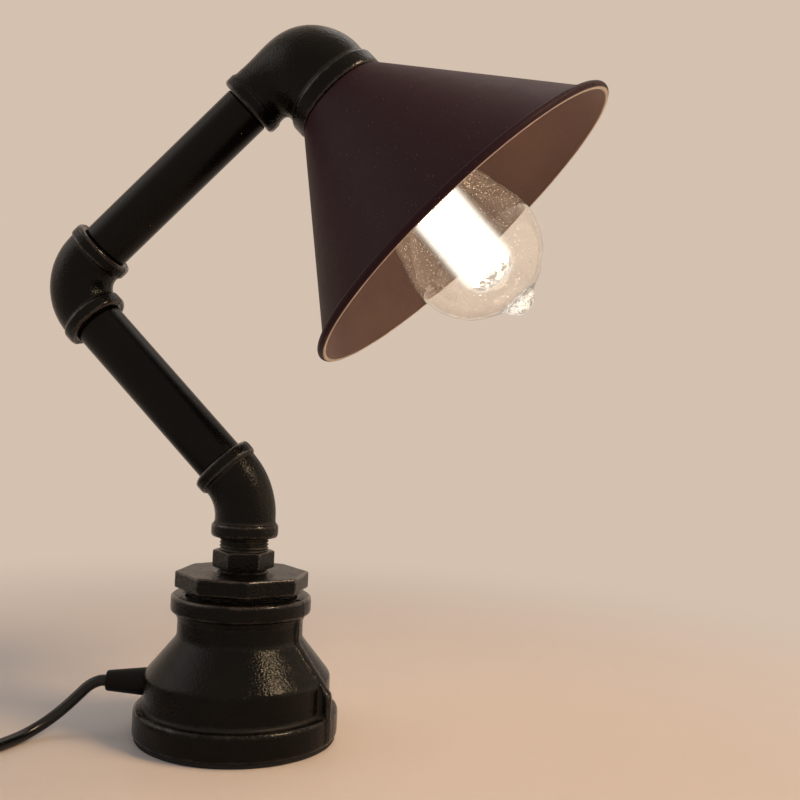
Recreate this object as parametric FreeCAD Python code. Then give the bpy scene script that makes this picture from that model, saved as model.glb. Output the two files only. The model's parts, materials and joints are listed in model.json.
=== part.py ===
import FreeCAD, Part
import math
import os

from FreeCAD import Placement, Rotation, Vector

# Table lamp made of malleable-iron pipe fittings.
# Millimetres and degrees. Origin: on the table, under the middle of the base.
# +Z is up. Both pipe arms lie in the XZ plane and the shade looks towards +X.

# --- fits and clearances ------------------------------------------------------
THREAD_FIT = 0.1        # radial play left in every screwed joint
FACE_GAP = 0.3          # play between the faces of pieces that turn on each other
SNUG = 0.05             # play of a pushed-in piece

# --- three-quarter-inch pipe thread and pipe --------------------------------
PIPE_RADIUS = 13.45
PIPE_BORE_RADIUS = 10.8
THREAD_RADIUS = 13.0
THREAD_LENGTH = 14.5

# --- base casting: reducing socket standing on its large end -----------------
PAD_THICKNESS = 2.2
PAD_RADIUS = 53.2
BASE_HEIGHT = 73.4
FOOT_BAND_RADIUS = 54.2
FOOT_BAND_HEIGHT = 14.4
BODY_RADIUS = 49.3
BODY_TOP = 33.4          # height of the shoulder above the table
NECK_BOTTOM = 53.0       # height where the cone runs into the neck
NECK_RADIUS = 33.4
NECK_TOP = 66.2          # height of the underside of the top band
TOP_BAND_RADIUS = 37.3
LARGE_THREAD_RADIUS = 43.2
LARGE_THREAD_DEPTH = 28.0
SMALL_THREAD_RADIUS = 29.1
SMALL_THREAD_DEPTH = 24.0
CAST_WALL = 5.2
RIB_ANGLE = -13.0        # direction of one casting rib; the other is opposite
RIB_WIDTH = 5.4
RIB_STEP = 0.6           # how far a rib stands out past the foot band
RIB_NECK_STEP = 1.4      # and past the neck
RIB_SHOULDER = 28.0      # height where a rib starts to follow the cone

# --- reducing bush with its eight-sided head ------------------------------
BUSH_GAP = 3.1
BUSH_HEAD_HEIGHT = 9.0
BUSH_FLATS = 66.0
BUSH_TURN = 20.6
BUSH_BARREL = 22.0

# --- hexagon nipple --------------------------------------------------------
NIPPLE_GAP = 1.9
NIPPLE_FLATS = 28.7
NIPPLE_HEX_HEIGHT = 9.5
NIPPLE_TURN = 15.6
NIPPLE_SHOWN_THREAD = 7.1

# --- elbows -----------------------------------------------------------------
BAND_RADIUS = 17.9
BAND_LENGTH = 6.9
LOW_ELBOW_REACH = 24.2   # lower mouth, from the corner of the axes
LOW_ELBOW_TOP_REACH = 21.2
LOW_ELBOW_BODY = 16.3
LOW_ELBOW_BEND = 33.0
MID_ELBOW_REACH = 28.8   # lower mouth
MID_ELBOW_TOP_REACH = 31.0
MID_ELBOW_BODY = 16.6
MID_ELBOW_BEND = 22.0
ARM_TILT = 45.0          # lower pipe, measured from upright

# --- pipes, from elbow face to elbow face ---------------------------------
LOWER_PIPE_SHOWN = 102.9
UPPER_PIPE_SHOWN = 108.8

# --- head: reducing elbow that carries the lampholder ----------------------
HEAD_SMALL_REACH = 39.8
HEAD_LARGE_REACH = 34.0
HEAD_SMALL_BODY = 16.9
HEAD_LARGE_BODY = 26.3
HEAD_SMALL_BAND = 17.8
HEAD_LARGE_BAND = 28.1
HEAD_LARGE_BAND_LENGTH = 9.4
HEAD_WALL = 4.0
HEAD_GROWTH = (0.0, 0.21, 0.67, 0.96, 1.0)  # how far the bend has grown, at even steps round it
HEAD_MOUTH_RADIUS = 20.3
HEAD_MOUTH_DEPTH = 20.0

# --- lampholder ----------------------------------------------------------------
HOLDER_RADIUS = 19.7
HOLDER_BACK = 10.0       # back of the holder, from the head corner
HOLDER_FRONT = 51.0
HOLDER_WALL = 2.4
INSERT_FLOOR = 3.0
SLEEVE_WALL = 0.4
SLEEVE_LENGTH = 21.0
CABLE_ENTRY_RADIUS = 4.2
SHADE_RING_RADIUS = 26.5
SHADE_RING_HEIGHT = 11.0

# --- shade ---------------------------------------------------------------------
SHADE_WALL = 1.0
SHADE_TOP_RADIUS = 27.6
SHADE_RIM_RADIUS = 100.9
SHADE_RIM_REACH = 131.5  # rim plane, from the head corner
RIM_BEAD_RADIUS = 2.2

# --- bulb -----------------------------------------------------------------------
BULB_CAP_RADIUS = 13.0
BULB_CAP_BACK = 28.6     # back of the threaded shell, from the head corner
BULB_CAP_LENGTH = 21.5
BULB_COLLAR_RADIUS = 11.4 # glass inside the cap
BULB_NECK_RADIUS = 15.0
BULB_RADIUS = 36.5
BULB_CENTRE = 141.4      # middle of the round part, from the head corner
BULB_TIP_REACH = 41.6    # end of the tip, from the middle of the round part
BULB_TIP_RADIUS = 7.0
BULB_TIP_HOLLOW = 5.0    # radius of the hollow round the sealed tip
BULB_FLARE = 14.5        # half angle of the glass between neck and round part
BULB_SKEW = 2.3          # the blown glass sits slightly askew in its cap
GLASS_WALL = 0.9
STEM_RADIUS = 2.6
STEM_SPARE = 1.0         # how far the stem reaches past the cage
CAGE_RADIUS = 12.6
CAGE_LENGTH = 69.0
CAGE_END_GAP = 26.0      # from the end of the cage to the end of the tip
CAGE_STRANDS = 24
FILAMENT_RADIUS = 0.4
SUPPORT_RADIUS = 0.35

# --- flex and cord grip -------------------------------------------------------
FLEX_RADIUS = 3.0
INNER_FLEX_RADIUS = 2.3
INNER_FLEX_OVERLAP = 2.0 # how far a length of inner flex reaches past the nipple's mouth
INNER_FLEX_IN = 4.0      # how far one reaches into an elbow
HEAD_FLEX_IN = 8.4       # and into the back of the lampholder
HEAD_FLEX_BEND = 9.5
CORD_SIDE = 191.2        # direction in which the flex leaves the base
GRIP_HEIGHT = 27.0
GRIP_RADIUS = 7.3
GRIP_TIP_RADIUS = 5.3
GRIP_LENGTH = 20.6
GRIP_STUD_RADIUS = 5.6
GRIP_STUD_LENGTH = 13.0
GRIP_NUT_FLATS = 15.0
GRIP_NUT_HEIGHT = 4.0
SPOT_FACE = 0.6
FLEX_INSIDE = 24.5       # where the flex starts to drop inside the base, from the axis
FLEX_BLOCK_RUN = 18.0    # straight run of the flex into the connector block
FLEX_DROP_BENDS = (13.0, 8.5)
RISER_RUN = 15.0         # how far the inner flex comes out of the block
RISER_BEND_HEIGHT = 30.0
RISER_ENTRY = 23.0       # below the bush head, where the inner flex is on the axis
RISER_BENDS = (10.0, 15.0, 20.0)

# --- connector block and earthing screw inside the base --------------------
BLOCK_LENGTH = 30.0
BLOCK_WIDTH = 16.0
BLOCK_HEIGHT = 12.0
BLOCK_PITCH = 9.5
BLOCK_SHIFT = 6.0        # middle of the block, from the axis towards the shade
BLOCK_BARREL = 3.1
BLOCK_WIRE_BORE = 1.7
BLOCK_SCREW_RADIUS = 1.6
EARTH_SCREW_RADIUS = 2.0
EARTH_HEAD_RADIUS = 3.9
EARTH_HEIGHT = 24.0
EARTH_SIDE = 80.0
TAG_THICKNESS = 0.8

# --- rocker switch on the flex -----------------------------------------------
SWITCH_LENGTH = 62.0
SWITCH_WIDTH = 27.0
SWITCH_AXIS_HEIGHT = 8.0
SWITCH_TOP = 20.0
SWITCH_WALL = 2.0
SWITCH_CORNER = 9.0
SWITCH_SIDE = 187.0
SWITCH_INLET = Vector(-134.0, -90.0, SWITCH_AXIS_HEIGHT)
ROCKER_LENGTH = 19.0
ROCKER_WIDTH = 12.0
ROCKER_THROW = 8.0       # tilt to each side of level
ROCKER_PLAY = 0.4
ROCKER_PIN_RADIUS = 1.5

# --- coil of spare flex ---------------------------------------------------------
COIL_CENTRE = Vector(-236.0, -56.0, 0.0)
COIL_OUTER_TURN = 45.4
COIL_INNER_TURN = 23.4
COIL_LAYERS = 2

# --- mains plug ------------------------------------------------------------------
PLUG_POINT = Vector(-270.0, 6.0, 8.0)
PLUG_SIDE = 76.0
PLUG_RELIEF_LENGTH = 26.0
PLUG_LENGTH = 46.0
PLUG_WIDTH = 49.0
PLUG_THICKNESS = 21.0
PIN_PITCH = 22.2
LINE_PIN_LENGTH = 17.7
EARTH_PIN_LENGTH = 22.7
PIN_THICKNESS = 4.0
LINE_PIN_WIDTH = 6.4
EARTH_PIN_WIDTH = 8.0
FUSE_RADIUS = 3.15
FUSE_LENGTH = 25.4

# --- worked-out places ---------------------------------------------------------
UP = Vector(0, 0, 1)
SIDEWAYS = Vector(0, 1, 0)
LEAN = math.radians(ARM_TILT)
LOWER_AXIS = Vector(-math.sin(LEAN), 0, math.cos(LEAN))
UPPER_AXIS = Vector(math.cos(LEAN), 0, math.sin(LEAN))
HEAD_AXIS = LOWER_AXIS * -1

BASE_TOP = PAD_THICKNESS + BASE_HEIGHT
FOOT_BAND_TOP = PAD_THICKNESS + FOOT_BAND_HEIGHT
BUSH_BOTTOM = BASE_TOP + BUSH_GAP
BUSH_TOP = BUSH_BOTTOM + BUSH_HEAD_HEIGHT
HEX_BOTTOM = BUSH_TOP + NIPPLE_GAP
HEX_TOP = HEX_BOTTOM + NIPPLE_HEX_HEIGHT
LOW_ELBOW_FACE = HEX_TOP + NIPPLE_SHOWN_THREAD
LOW_CORNER = Vector(0, 0, LOW_ELBOW_FACE + LOW_ELBOW_REACH)
MID_CORNER = LOW_CORNER + LOWER_AXIS * (LOW_ELBOW_TOP_REACH + LOWER_PIPE_SHOWN + MID_ELBOW_REACH)
HEAD_CORNER = MID_CORNER + UPPER_AXIS * (MID_ELBOW_TOP_REACH + UPPER_PIPE_SHOWN + HEAD_SMALL_REACH)
SOCKET_RADIUS = THREAD_RADIUS + THREAD_FIT
BULB_TIP = BULB_CENTRE + BULB_TIP_REACH
CAGE_END = BULB_TIP - CAGE_END_GAP
CAGE_TOP = CAGE_END - CAGE_LENGTH
STEM_END = CAGE_END + STEM_SPARE
CORD_DIRECTION = Vector(math.cos(math.radians(CORD_SIDE)), math.sin(math.radians(CORD_SIDE)), 0)
SWITCH_DIRECTION = Vector(math.cos(math.radians(SWITCH_SIDE)), math.sin(math.radians(SWITCH_SIDE)), 0)
SWITCH_OUTLET = SWITCH_INLET + SWITCH_DIRECTION * SWITCH_LENGTH
PLUG_DIRECTION = Vector(math.cos(math.radians(PLUG_SIDE)), math.sin(math.radians(PLUG_SIDE)), 0)
COIL_HEIGHT = COIL_LAYERS * 2 * FLEX_RADIUS

GRIP_WALL = BODY_RADIUS - SPOT_FACE
GRIP_MOUTH = UP * GRIP_HEIGHT + CORD_DIRECTION * (GRIP_WALL + GRIP_LENGTH)

# --- routes of the flex on the table --------------------------------------------
LEAD_POINTS = [
    GRIP_MOUTH,
    GRIP_MOUTH + CORD_DIRECTION * 3.5,
    Vector(-76.8, -15.6, 24.4),
    Vector(-81.2, -18.4, 19.4),
    Vector(-86.8, -23.0, 13.2),
    Vector(-93.2, -29.4, 7.3),
    Vector(-99.6, -40.2, 3.3),
    Vector(-104.2, -55.0, 3.0),
    Vector(-109.0, -70.0, 3.0),
    Vector(-118.5, -82.4, 4.4),
    SWITCH_INLET - SWITCH_DIRECTION * 5,
    SWITCH_INLET,
]
TAIL_POINTS = [
    SWITCH_OUTLET,
    SWITCH_OUTLET + SWITCH_DIRECTION * 5,
    COIL_CENTRE + Vector(27, -COIL_OUTER_TURN - 0.6, 5.8),
    COIL_CENTRE + Vector(14, -COIL_OUTER_TURN - 0.6, 3.2),
    COIL_CENTRE + Vector(1, -COIL_OUTER_TURN, FLEX_RADIUS),
]
PLUG_LEAD_POINTS = [
    COIL_CENTRE + Vector(-COIL_OUTER_TURN, 0, 3 * FLEX_RADIUS),
    COIL_CENTRE + Vector(-COIL_OUTER_TURN, 15, 3 * FLEX_RADIUS),
    COIL_CENTRE + Vector(2.2 - COIL_OUTER_TURN, 30, 9.0),
    COIL_CENTRE + Vector(7 - COIL_OUTER_TURN, 46, 8.0),
    PLUG_POINT,
]


# --- helpers -----------------------------------------------------------------
def unit(vector):
    return vector * (1 / vector.Length)


def corner_arc(before, corner, after, radius):
    """Start, middle and end of the arc that rounds one corner of a path."""
    arriving = unit(corner - before)
    leaving = unit(after - corner)
    half_turn = arriving.getAngle(leaving) / 2
    reach = radius * math.tan(half_turn)
    rise = radius / math.cos(half_turn) - radius
    return corner - arriving * reach, corner + unit(leaving - arriving) * rise, corner + leaving * reach


def rounded_wire(corners, radii, closed=False):
    """Straight runs joined by tangent arcs; a radius of 0 keeps the corner sharp."""
    count = len(corners)
    joints = []
    for i in range(count):
        if radii[i] > 0:
            joints.append(corner_arc(corners[i - 1], corners[i], corners[(i + 1) % count], radii[i]))
        else:
            joints.append((corners[i], None, corners[i]))
    edges = []
    for i, (start, middle, end) in enumerate(joints):
        if middle:
            edges.append(Part.Arc(start, middle, end).toShape())
        if i < count - 1 or closed:
            following = joints[(i + 1) % count][0]
            if following.distanceToPoint(end) > 1e-6:
                edges.append(Part.LineSegment(end, following).toShape())
    return Part.Wire(edges)


def turned(outline, sweep=360):
    """Solid of revolution about Z from (radius, height, corner radius) points."""
    corners = [Vector(r, 0, z) for r, z, _ in outline]
    radii = [rounding for _, _, rounding in outline]
    face = Part.Face(rounded_wire(corners, radii, closed=True))
    return face.revolve(Vector(0, 0, 0), UP, sweep)


def rod(radius, bottom, top):
    return Part.makeCylinder(radius, top - bottom, Vector(0, 0, bottom))


def tube(outer, inner, bottom, top):
    return rod(outer, bottom, top).cut(rod(inner, bottom - 1, top + 1))


def prism(sides, across_flats, bottom, top, turn, cut=1.2):
    """Upright prism with its corners cut off by a shallow cone at both ends."""
    corner_radius = across_flats / 2 / math.cos(math.pi / sides)
    corners = []
    for i in range(sides + 1):
        angle = math.radians(turn) + 2 * math.pi * i / sides
        corners.append(Vector(corner_radius * math.cos(angle), corner_radius * math.sin(angle), bottom))
    body = Part.Face(Part.makePolygon(corners)).extrude(UP * (top - bottom))
    slope = 0.55
    envelope = turned([
        (0, bottom, 0), (corner_radius - cut, bottom, 0), (corner_radius + cut, bottom + 2 * cut * slope, 0),
        (corner_radius + cut, top - 2 * cut * slope, 0), (corner_radius - cut, top, 0), (0, top, 0),
    ])
    return body.common(envelope)


def aimed(shape, origin, direction):
    """Move a shape made about Z so that Z points along a direction from an origin."""
    moved = shape.copy()
    moved.Placement = Placement(origin, Rotation(UP, direction)).multiply(moved.Placement)
    return moved


def laid(shape, origin, side):
    """Turn a shape made along +X about Z and put it at a point."""
    moved = shape.copy()
    moved.Placement = Placement(origin, Rotation(UP, side)).multiply(moved.Placement)
    return moved


def on_wall(shape, height, side):
    """Turn a shape made about Z so that Z points out through the base wall and X points down."""
    facing = Rotation(UP, side).multiply(Rotation(UP, Vector(1, 0, 0)))
    moved = shape.copy()
    moved.Placement = Placement(UP * height, facing).multiply(moved.Placement)
    return moved


def swept(corners, radii, tube_radius):
    """Round tube along straight runs joined by tangent arcs."""
    path = rounded_wire(corners, radii)
    section = Part.Wire(Part.makeCircle(tube_radius, corners[0], corners[1] - corners[0]))
    return path.makePipeShell([section], True, False)


def bent_rod(start, corner, end, bend, radius):
    return swept([start, corner, end], [0, bend, 0], radius)


def block(length, width, height, origin):
    """Box along +X, centred in Y, from an origin at its lower back edge."""
    return Part.makeBox(length, width, height, origin - SIDEWAYS * (width / 2))


def joined(first, *others):
    return first.fuse(list(others)).removeSplitter()


def flex_tube(points, radius=FLEX_RADIUS):
    """Flex laid along hand-chosen points, and the radius of each of its bends."""
    radii = [0]
    for i in range(1, len(points) - 1):
        before = points[i] - points[i - 1]
        after = points[i + 1] - points[i]
        half_turn = before.getAngle(after) / 2
        radii.append(0.45 * min(before.Length, after.Length) / math.tan(half_turn))
    radii.append(0)
    return swept(points, radii, radius), radii, rounded_wire(points, radii).Length


# --- base ---------------------------------------------------------------------
def make_foot_pad():
    return turned([(0, 0, 0), (PAD_RADIUS, 0, 0.6), (PAD_RADIUS, PAD_THICKNESS, 0), (0, PAD_THICKNESS, 0)])


def casting_rib():
    """One rib along the casting: up the foot band, over the cone and on along the neck."""
    outer = FOOT_BAND_RADIUS + RIB_STEP
    bury = CAST_WALL / 2
    outline = [
        (NECK_RADIUS - bury, NECK_TOP + 1, 0),
        (NECK_RADIUS + RIB_NECK_STEP, NECK_TOP + 1, 0),
        (NECK_RADIUS + RIB_NECK_STEP, NECK_BOTTOM - 0.5, 4),
        (outer, RIB_SHOULDER, 3),
        (outer, PAD_THICKNESS + 0.8, 0),
        (BODY_RADIUS - bury, PAD_THICKNESS + 0.8, 0),
        (BODY_RADIUS - bury, BODY_TOP - 1, 0),
        (NECK_RADIUS - bury, NECK_BOTTOM - 1, 0),
    ]
    corners = [Vector(r, -RIB_WIDTH / 2, z) for r, z, _ in outline]
    face = Part.Face(rounded_wire(corners, [rounding for _, _, rounding in outline], closed=True))
    return face.extrude(SIDEWAYS * RIB_WIDTH)


def make_base_reducer():
    bottom = PAD_THICKNESS
    outer = turned([
        (0, bottom, 0),
        (FOOT_BAND_RADIUS, bottom, 1.2),
        (FOOT_BAND_RADIUS, FOOT_BAND_TOP, 2.2),
        (BODY_RADIUS, FOOT_BAND_TOP, 1.0),
        (BODY_RADIUS, BODY_TOP, 2.6),
        (NECK_RADIUS, NECK_BOTTOM, 4.0),
        (NECK_RADIUS, NECK_TOP - 2.6, 0),
        (NECK_RADIUS + 0.9, NECK_TOP - 2.6, 0.4),
        (NECK_RADIUS + 0.9, NECK_TOP, 0.4),
        (TOP_BAND_RADIUS, NECK_TOP, 1.4),
        (TOP_BAND_RADIUS, BASE_TOP, 1.4),
        (0, BASE_TOP, 0),
    ])
    rib = casting_rib()
    for angle in (RIB_ANGLE, RIB_ANGLE + 180):
        outer = outer.fuse(laid(rib, Vector(0, 0, 0), angle))
    cavity_top = BASE_TOP - SMALL_THREAD_DEPTH
    inner = turned([
        (0, bottom - 1, 0),
        (LARGE_THREAD_RADIUS, bottom - 1, 0),
        (LARGE_THREAD_RADIUS, bottom + LARGE_THREAD_DEPTH, 0),
        (BODY_RADIUS - CAST_WALL, bottom + LARGE_THREAD_DEPTH + 1.2, 2.0),
        (NECK_RADIUS - CAST_WALL, cavity_top, 2.0),
        (SMALL_THREAD_RADIUS, cavity_top + 0.6, 0),
        (SMALL_THREAD_RADIUS, BASE_TOP - 1.6, 0),
        (SMALL_THREAD_RADIUS + 1.6, BASE_TOP, 0),
        (SMALL_THREAD_RADIUS + 1.6, BASE_TOP + 1, 0),
        (0, BASE_TOP + 1, 0),
    ])
    grip_hole = rod(GRIP_STUD_RADIUS + SNUG, LARGE_THREAD_RADIUS - 8, FOOT_BAND_RADIUS + 10)
    spot_face = rod(GRIP_RADIUS + 0.4, GRIP_WALL, FOOT_BAND_RADIUS + 10)
    nut_seat = rod(GRIP_NUT_FLATS / 2 + 1.6, LARGE_THREAD_RADIUS - 16, LARGE_THREAD_RADIUS - 1.2)
    earth_hole = rod(EARTH_SCREW_RADIUS + SNUG, LARGE_THREAD_RADIUS - 6, LARGE_THREAD_RADIUS + 3.5)
    holes = [on_wall(hole, GRIP_HEIGHT, CORD_SIDE) for hole in (grip_hole, spot_face, nut_seat)]
    holes.append(on_wall(earth_hole, EARTH_HEIGHT, EARTH_SIDE))
    return outer.cut(inner).cut(holes).removeSplitter()


def make_reducing_bush():
    head = prism(8, BUSH_FLATS, BUSH_BOTTOM, BUSH_TOP, BUSH_TURN, 0.7)
    barrel = turned([
        (0, BUSH_BOTTOM - BUSH_BARREL, 0),
        (SMALL_THREAD_RADIUS - THREAD_FIT - 1.4, BUSH_BOTTOM - BUSH_BARREL, 0),
        (SMALL_THREAD_RADIUS - THREAD_FIT, BUSH_BOTTOM - BUSH_BARREL + 1.4, 0),
        (SMALL_THREAD_RADIUS - THREAD_FIT, BUSH_BOTTOM, 0),
        (0, BUSH_BOTTOM, 0),
    ])
    bore = turned([
        (0, BUSH_BOTTOM - BUSH_BARREL - 1, 0),
        (SMALL_THREAD_RADIUS - 5.0, BUSH_BOTTOM - BUSH_BARREL - 1, 0),
        (SMALL_THREAD_RADIUS - 5.0, BUSH_BOTTOM - 10, 3.0),
        (SOCKET_RADIUS, BUSH_BOTTOM - 6, 0),
        (SOCKET_RADIUS, BUSH_TOP - 1.2, 0),
        (SOCKET_RADIUS + 1.2, BUSH_TOP, 0),
        (SOCKET_RADIUS + 1.2, BUSH_TOP + 1, 0),
        (0, BUSH_TOP + 1, 0),
    ])
    return head.fuse(barrel).cut(bore).removeSplitter()


def make_hex_nipple():
    hexagon = prism(6, NIPPLE_FLATS, HEX_BOTTOM, HEX_TOP, NIPPLE_TURN)
    low_end = HEX_BOTTOM - THREAD_LENGTH
    high_end = LOW_ELBOW_FACE + THREAD_LENGTH - 1.5
    threads = turned([
        (0, low_end, 0), (THREAD_RADIUS - 0.9, low_end, 0), (THREAD_RADIUS, low_end + 0.9, 0),
        (THREAD_RADIUS, high_end - 0.9, 0), (THREAD_RADIUS - 0.9, high_end, 0), (0, high_end, 0),
    ])
    return hexagon.fuse(threads).cut(rod(PIPE_BORE_RADIUS - 1.3, low_end - 1, high_end + 1)).removeSplitter()


# --- elbows and pipes ----------------------------------------------------------
def band(body_radius, band_radius, face, length):
    """Raised band round the mouth of a fitting whose face is at this height."""
    return turned([
        (0, face - length - 0.6, 0),
        (body_radius - 0.4, face - length - 0.6, 0),
        (band_radius, face - length, min(1.5, (band_radius - body_radius) * 0.8)),
        (band_radius, face, 1.8),
        (0, face, 0),
    ])


def socket(radius, face, depth):
    """Threaded mouth, with the lead-in cone at its face."""
    return turned([
        (0, face - depth, 0), (radius, face - depth, 0), (radius, face - 1.0, 0),
        (radius + 1.0, face, 0), (radius + 1.0, face + 1, 0), (0, face + 1, 0),
    ])


def elbow(corner, arms, body_radius, bend):
    """Elbow with two like mouths; each arm is the direction and the reach of one."""
    ends = [corner + direction * reach for direction, reach in arms]
    shell = bent_rod(ends[0], corner, ends[1], bend, body_radius)
    passage = bent_rod(ends[0], corner, ends[1], bend, PIPE_BORE_RADIUS)
    for direction, reach in arms:
        shell = shell.fuse(aimed(band(body_radius, BAND_RADIUS, reach, BAND_LENGTH), corner, direction))
    mouths = [aimed(socket(SOCKET_RADIUS, reach, THREAD_LENGTH + FACE_GAP), corner, direction)
              for direction, reach in arms]
    return shell.cut(passage).cut(mouths).removeSplitter()


def make_pipe(corner, direction, low_reach, shown, low_gap, high_gap):
    """Pipe with a threaded end in each elbow; the gaps keep it off a turning elbow's face."""
    start = low_reach + low_gap
    end = low_reach + shown - high_gap
    threads = turned([
        (0, low_reach - THREAD_LENGTH + 1.0, 0),
        (THREAD_RADIUS - 0.8, low_reach - THREAD_LENGTH + 1.0, 0),
        (THREAD_RADIUS, low_reach - THREAD_LENGTH + 1.8, 0),
        (THREAD_RADIUS, low_reach + shown + THREAD_LENGTH - 1.8, 0),
        (THREAD_RADIUS - 0.8, low_reach + shown + THREAD_LENGTH - 1.0, 0),
        (0, low_reach + shown + THREAD_LENGTH - 1.0, 0),
    ])
    wall = turned([
        (0, start, 0), (THREAD_RADIUS, start, 0), (PIPE_RADIUS, start + 0.8, 0),
        (PIPE_RADIUS, end - 0.8, 0), (THREAD_RADIUS, end, 0), (0, end, 0),
    ])
    bore = rod(PIPE_BORE_RADIUS, 0, low_reach + shown + THREAD_LENGTH + 1)
    return aimed(threads.fuse(wall).cut(bore).removeSplitter(), corner, direction)


def head_point(along, across):
    """Point in the arm plane, along the head axis and across it, up the upper pipe's line."""
    return HEAD_CORNER + HEAD_AXIS * along + UPPER_AXIS * across


def growing_bend(inset):
    """Body of the reducing elbow: round sections that grow while they fan about the crotch."""
    pivot_along = HEAD_LARGE_REACH - HEAD_LARGE_BAND_LENGTH - 4.6
    pivot_across = -HEAD_LARGE_BODY - 1.6
    small_diameter = pivot_along + HEAD_SMALL_BODY
    large_diameter = -pivot_across + HEAD_LARGE_BODY
    sections = []
    for step, growth in enumerate(HEAD_GROWTH):
        share = step / (len(HEAD_GROWTH) - 1)
        fan = math.radians(90 * share)
        across_section = small_diameter + (large_diameter - small_diameter) * growth
        near = 1.6 + (pivot_along - HEAD_SMALL_BODY - 1.6) * (1 - share) ** 3
        bulge = 0.6 * math.sin(math.pi * share)
        radius = (across_section - near) / 2 - bulge
        middle = near + radius
        along = pivot_along - math.cos(fan) * middle
        across = pivot_across + math.sin(fan) * middle
        normal = UPPER_AXIS * math.cos(fan) + HEAD_AXIS * math.sin(fan)
        sections.append(Part.Wire(Part.makeCircle(radius - inset, head_point(along, across), normal)))
    return Part.makeLoft(sections, True, False), pivot_along, pivot_across


def make_head_elbow():
    body, pivot_along, pivot_across = growing_bend(0)
    hollow, _, _ = growing_bend(HEAD_WALL)
    small_stub = aimed(rod(HEAD_SMALL_BODY, -pivot_across, HEAD_SMALL_REACH), HEAD_CORNER, UPPER_AXIS * -1)
    large_stub = aimed(rod(HEAD_LARGE_BODY, pivot_along, HEAD_LARGE_REACH), HEAD_CORNER, HEAD_AXIS)
    small_band = aimed(band(HEAD_SMALL_BODY, HEAD_SMALL_BAND, HEAD_SMALL_REACH, BAND_LENGTH),
                       HEAD_CORNER, UPPER_AXIS * -1)
    large_band = aimed(band(HEAD_LARGE_BODY, HEAD_LARGE_BAND, HEAD_LARGE_REACH, HEAD_LARGE_BAND_LENGTH),
                       HEAD_CORNER, HEAD_AXIS)
    shell = body.fuse([small_stub, large_stub])
    shell = shell.fuse([small_band, large_band])
    small_mouth = aimed(socket(SOCKET_RADIUS, HEAD_SMALL_REACH, THREAD_LENGTH + FACE_GAP),
                        HEAD_CORNER, UPPER_AXIS * -1)
    small_way = aimed(rod(PIPE_BORE_RADIUS, -pivot_across - 4, HEAD_SMALL_REACH), HEAD_CORNER, UPPER_AXIS * -1)
    large_mouth = aimed(socket(HEAD_MOUTH_RADIUS, HEAD_LARGE_REACH, HEAD_MOUTH_DEPTH), HEAD_CORNER, HEAD_AXIS)
    return shell.cut([hollow, small_mouth, small_way, large_mouth]).removeSplitter()


# --- lampholder and shade --------------------------------------------------------
def make_holder_shell():
    outer = turned([
        (0, HOLDER_BACK, 0),
        (CABLE_ENTRY_RADIUS + 4.0, HOLDER_BACK, 1.0),
        (CABLE_ENTRY_RADIUS + 5.5, HOLDER_BACK + 3, 0),
        (HOLDER_RADIUS - 2.5, HOLDER_BACK + 5, 2.0),
        (HOLDER_RADIUS, HOLDER_BACK + 9, 0),
        (HOLDER_RADIUS, HOLDER_FRONT, 0.8),
        (0, HOLDER_FRONT, 0),
    ])
    inner_radius = HOLDER_RADIUS - HOLDER_WALL
    inner = turned([
        (0, HOLDER_BACK - 1, 0),
        (CABLE_ENTRY_RADIUS, HOLDER_BACK - 1, 0),
        (CABLE_ENTRY_RADIUS, HOLDER_BACK + 3.5, 0),
        (inner_radius - 3, HOLDER_BACK + 7, 0),
        (inner_radius, HOLDER_BACK + 10, 0),
        (inner_radius, HOLDER_FRONT + 1, 0),
        (0, HOLDER_FRONT + 1, 0),
    ])
    return aimed(outer.cut(inner), HEAD_CORNER, HEAD_AXIS)


def contact_floor():
    """Height of the floor that carries the centre contact."""
    return HOLDER_BACK + 9 + INSERT_FLOOR


def make_holder_insert():
    """Porcelain body: contact floor at the back and a collar round the threaded sleeve."""
    floor = contact_floor()
    back = floor - INSERT_FLOOR
    outer_radius = HOLDER_RADIUS - HOLDER_WALL - SNUG
    body = turned([
        (0, back, 0), (outer_radius - 3, back, 0), (outer_radius, back + 2.6, 0),
        (outer_radius, HOLDER_FRONT - 1.5, 1.0), (0, HOLDER_FRONT - 1.5, 0),
    ])
    well = rod(BULB_CAP_RADIUS + THREAD_FIT + SLEEVE_WALL + SNUG, floor, HOLDER_FRONT)
    holes = [Part.makeCylinder(1.6, 2 * INSERT_FLOOR, Vector(0, y, back - 1)) for y in (-7, 0, 7)]
    return aimed(body.cut(well).cut(holes), HEAD_CORNER, HEAD_AXIS)


def make_thread_sleeve():
    inner = BULB_CAP_RADIUS + THREAD_FIT
    top = HOLDER_FRONT - 2.5
    return aimed(tube(inner + SLEEVE_WALL, inner, top - SLEEVE_LENGTH, top), HEAD_CORNER, HEAD_AXIS)


def make_contact_spring():
    """Sprung tongue under the cap's centre contact, held by a rivet."""
    floor = contact_floor() + 0.03
    top = BULB_CAP_BACK - 4.5 - SNUG
    thick = 0.5
    outline = [
        (-4.5, floor, 0), (8.0, floor, 0), (8.0, floor + thick, 0.2), (2.6, top, 0.9), (-3.0, top, 0),
        (-3.0, top - thick, 0), (2.2, top - thick, 0.5), (6.0, floor + thick, 0), (-4.5, floor + thick, 0),
    ]
    corners = [Vector(x, -2.2, z) for x, z, _ in outline]
    face = Part.Face(rounded_wire(corners, [rounding for _, _, rounding in outline], closed=True))
    rivet = rod(1.5, floor - INSERT_FLOOR + 0.3, floor + thick + 0.3)
    return aimed(face.extrude(SIDEWAYS * 4.4).fuse(rivet).removeSplitter(), HEAD_CORNER, HEAD_AXIS)


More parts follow.
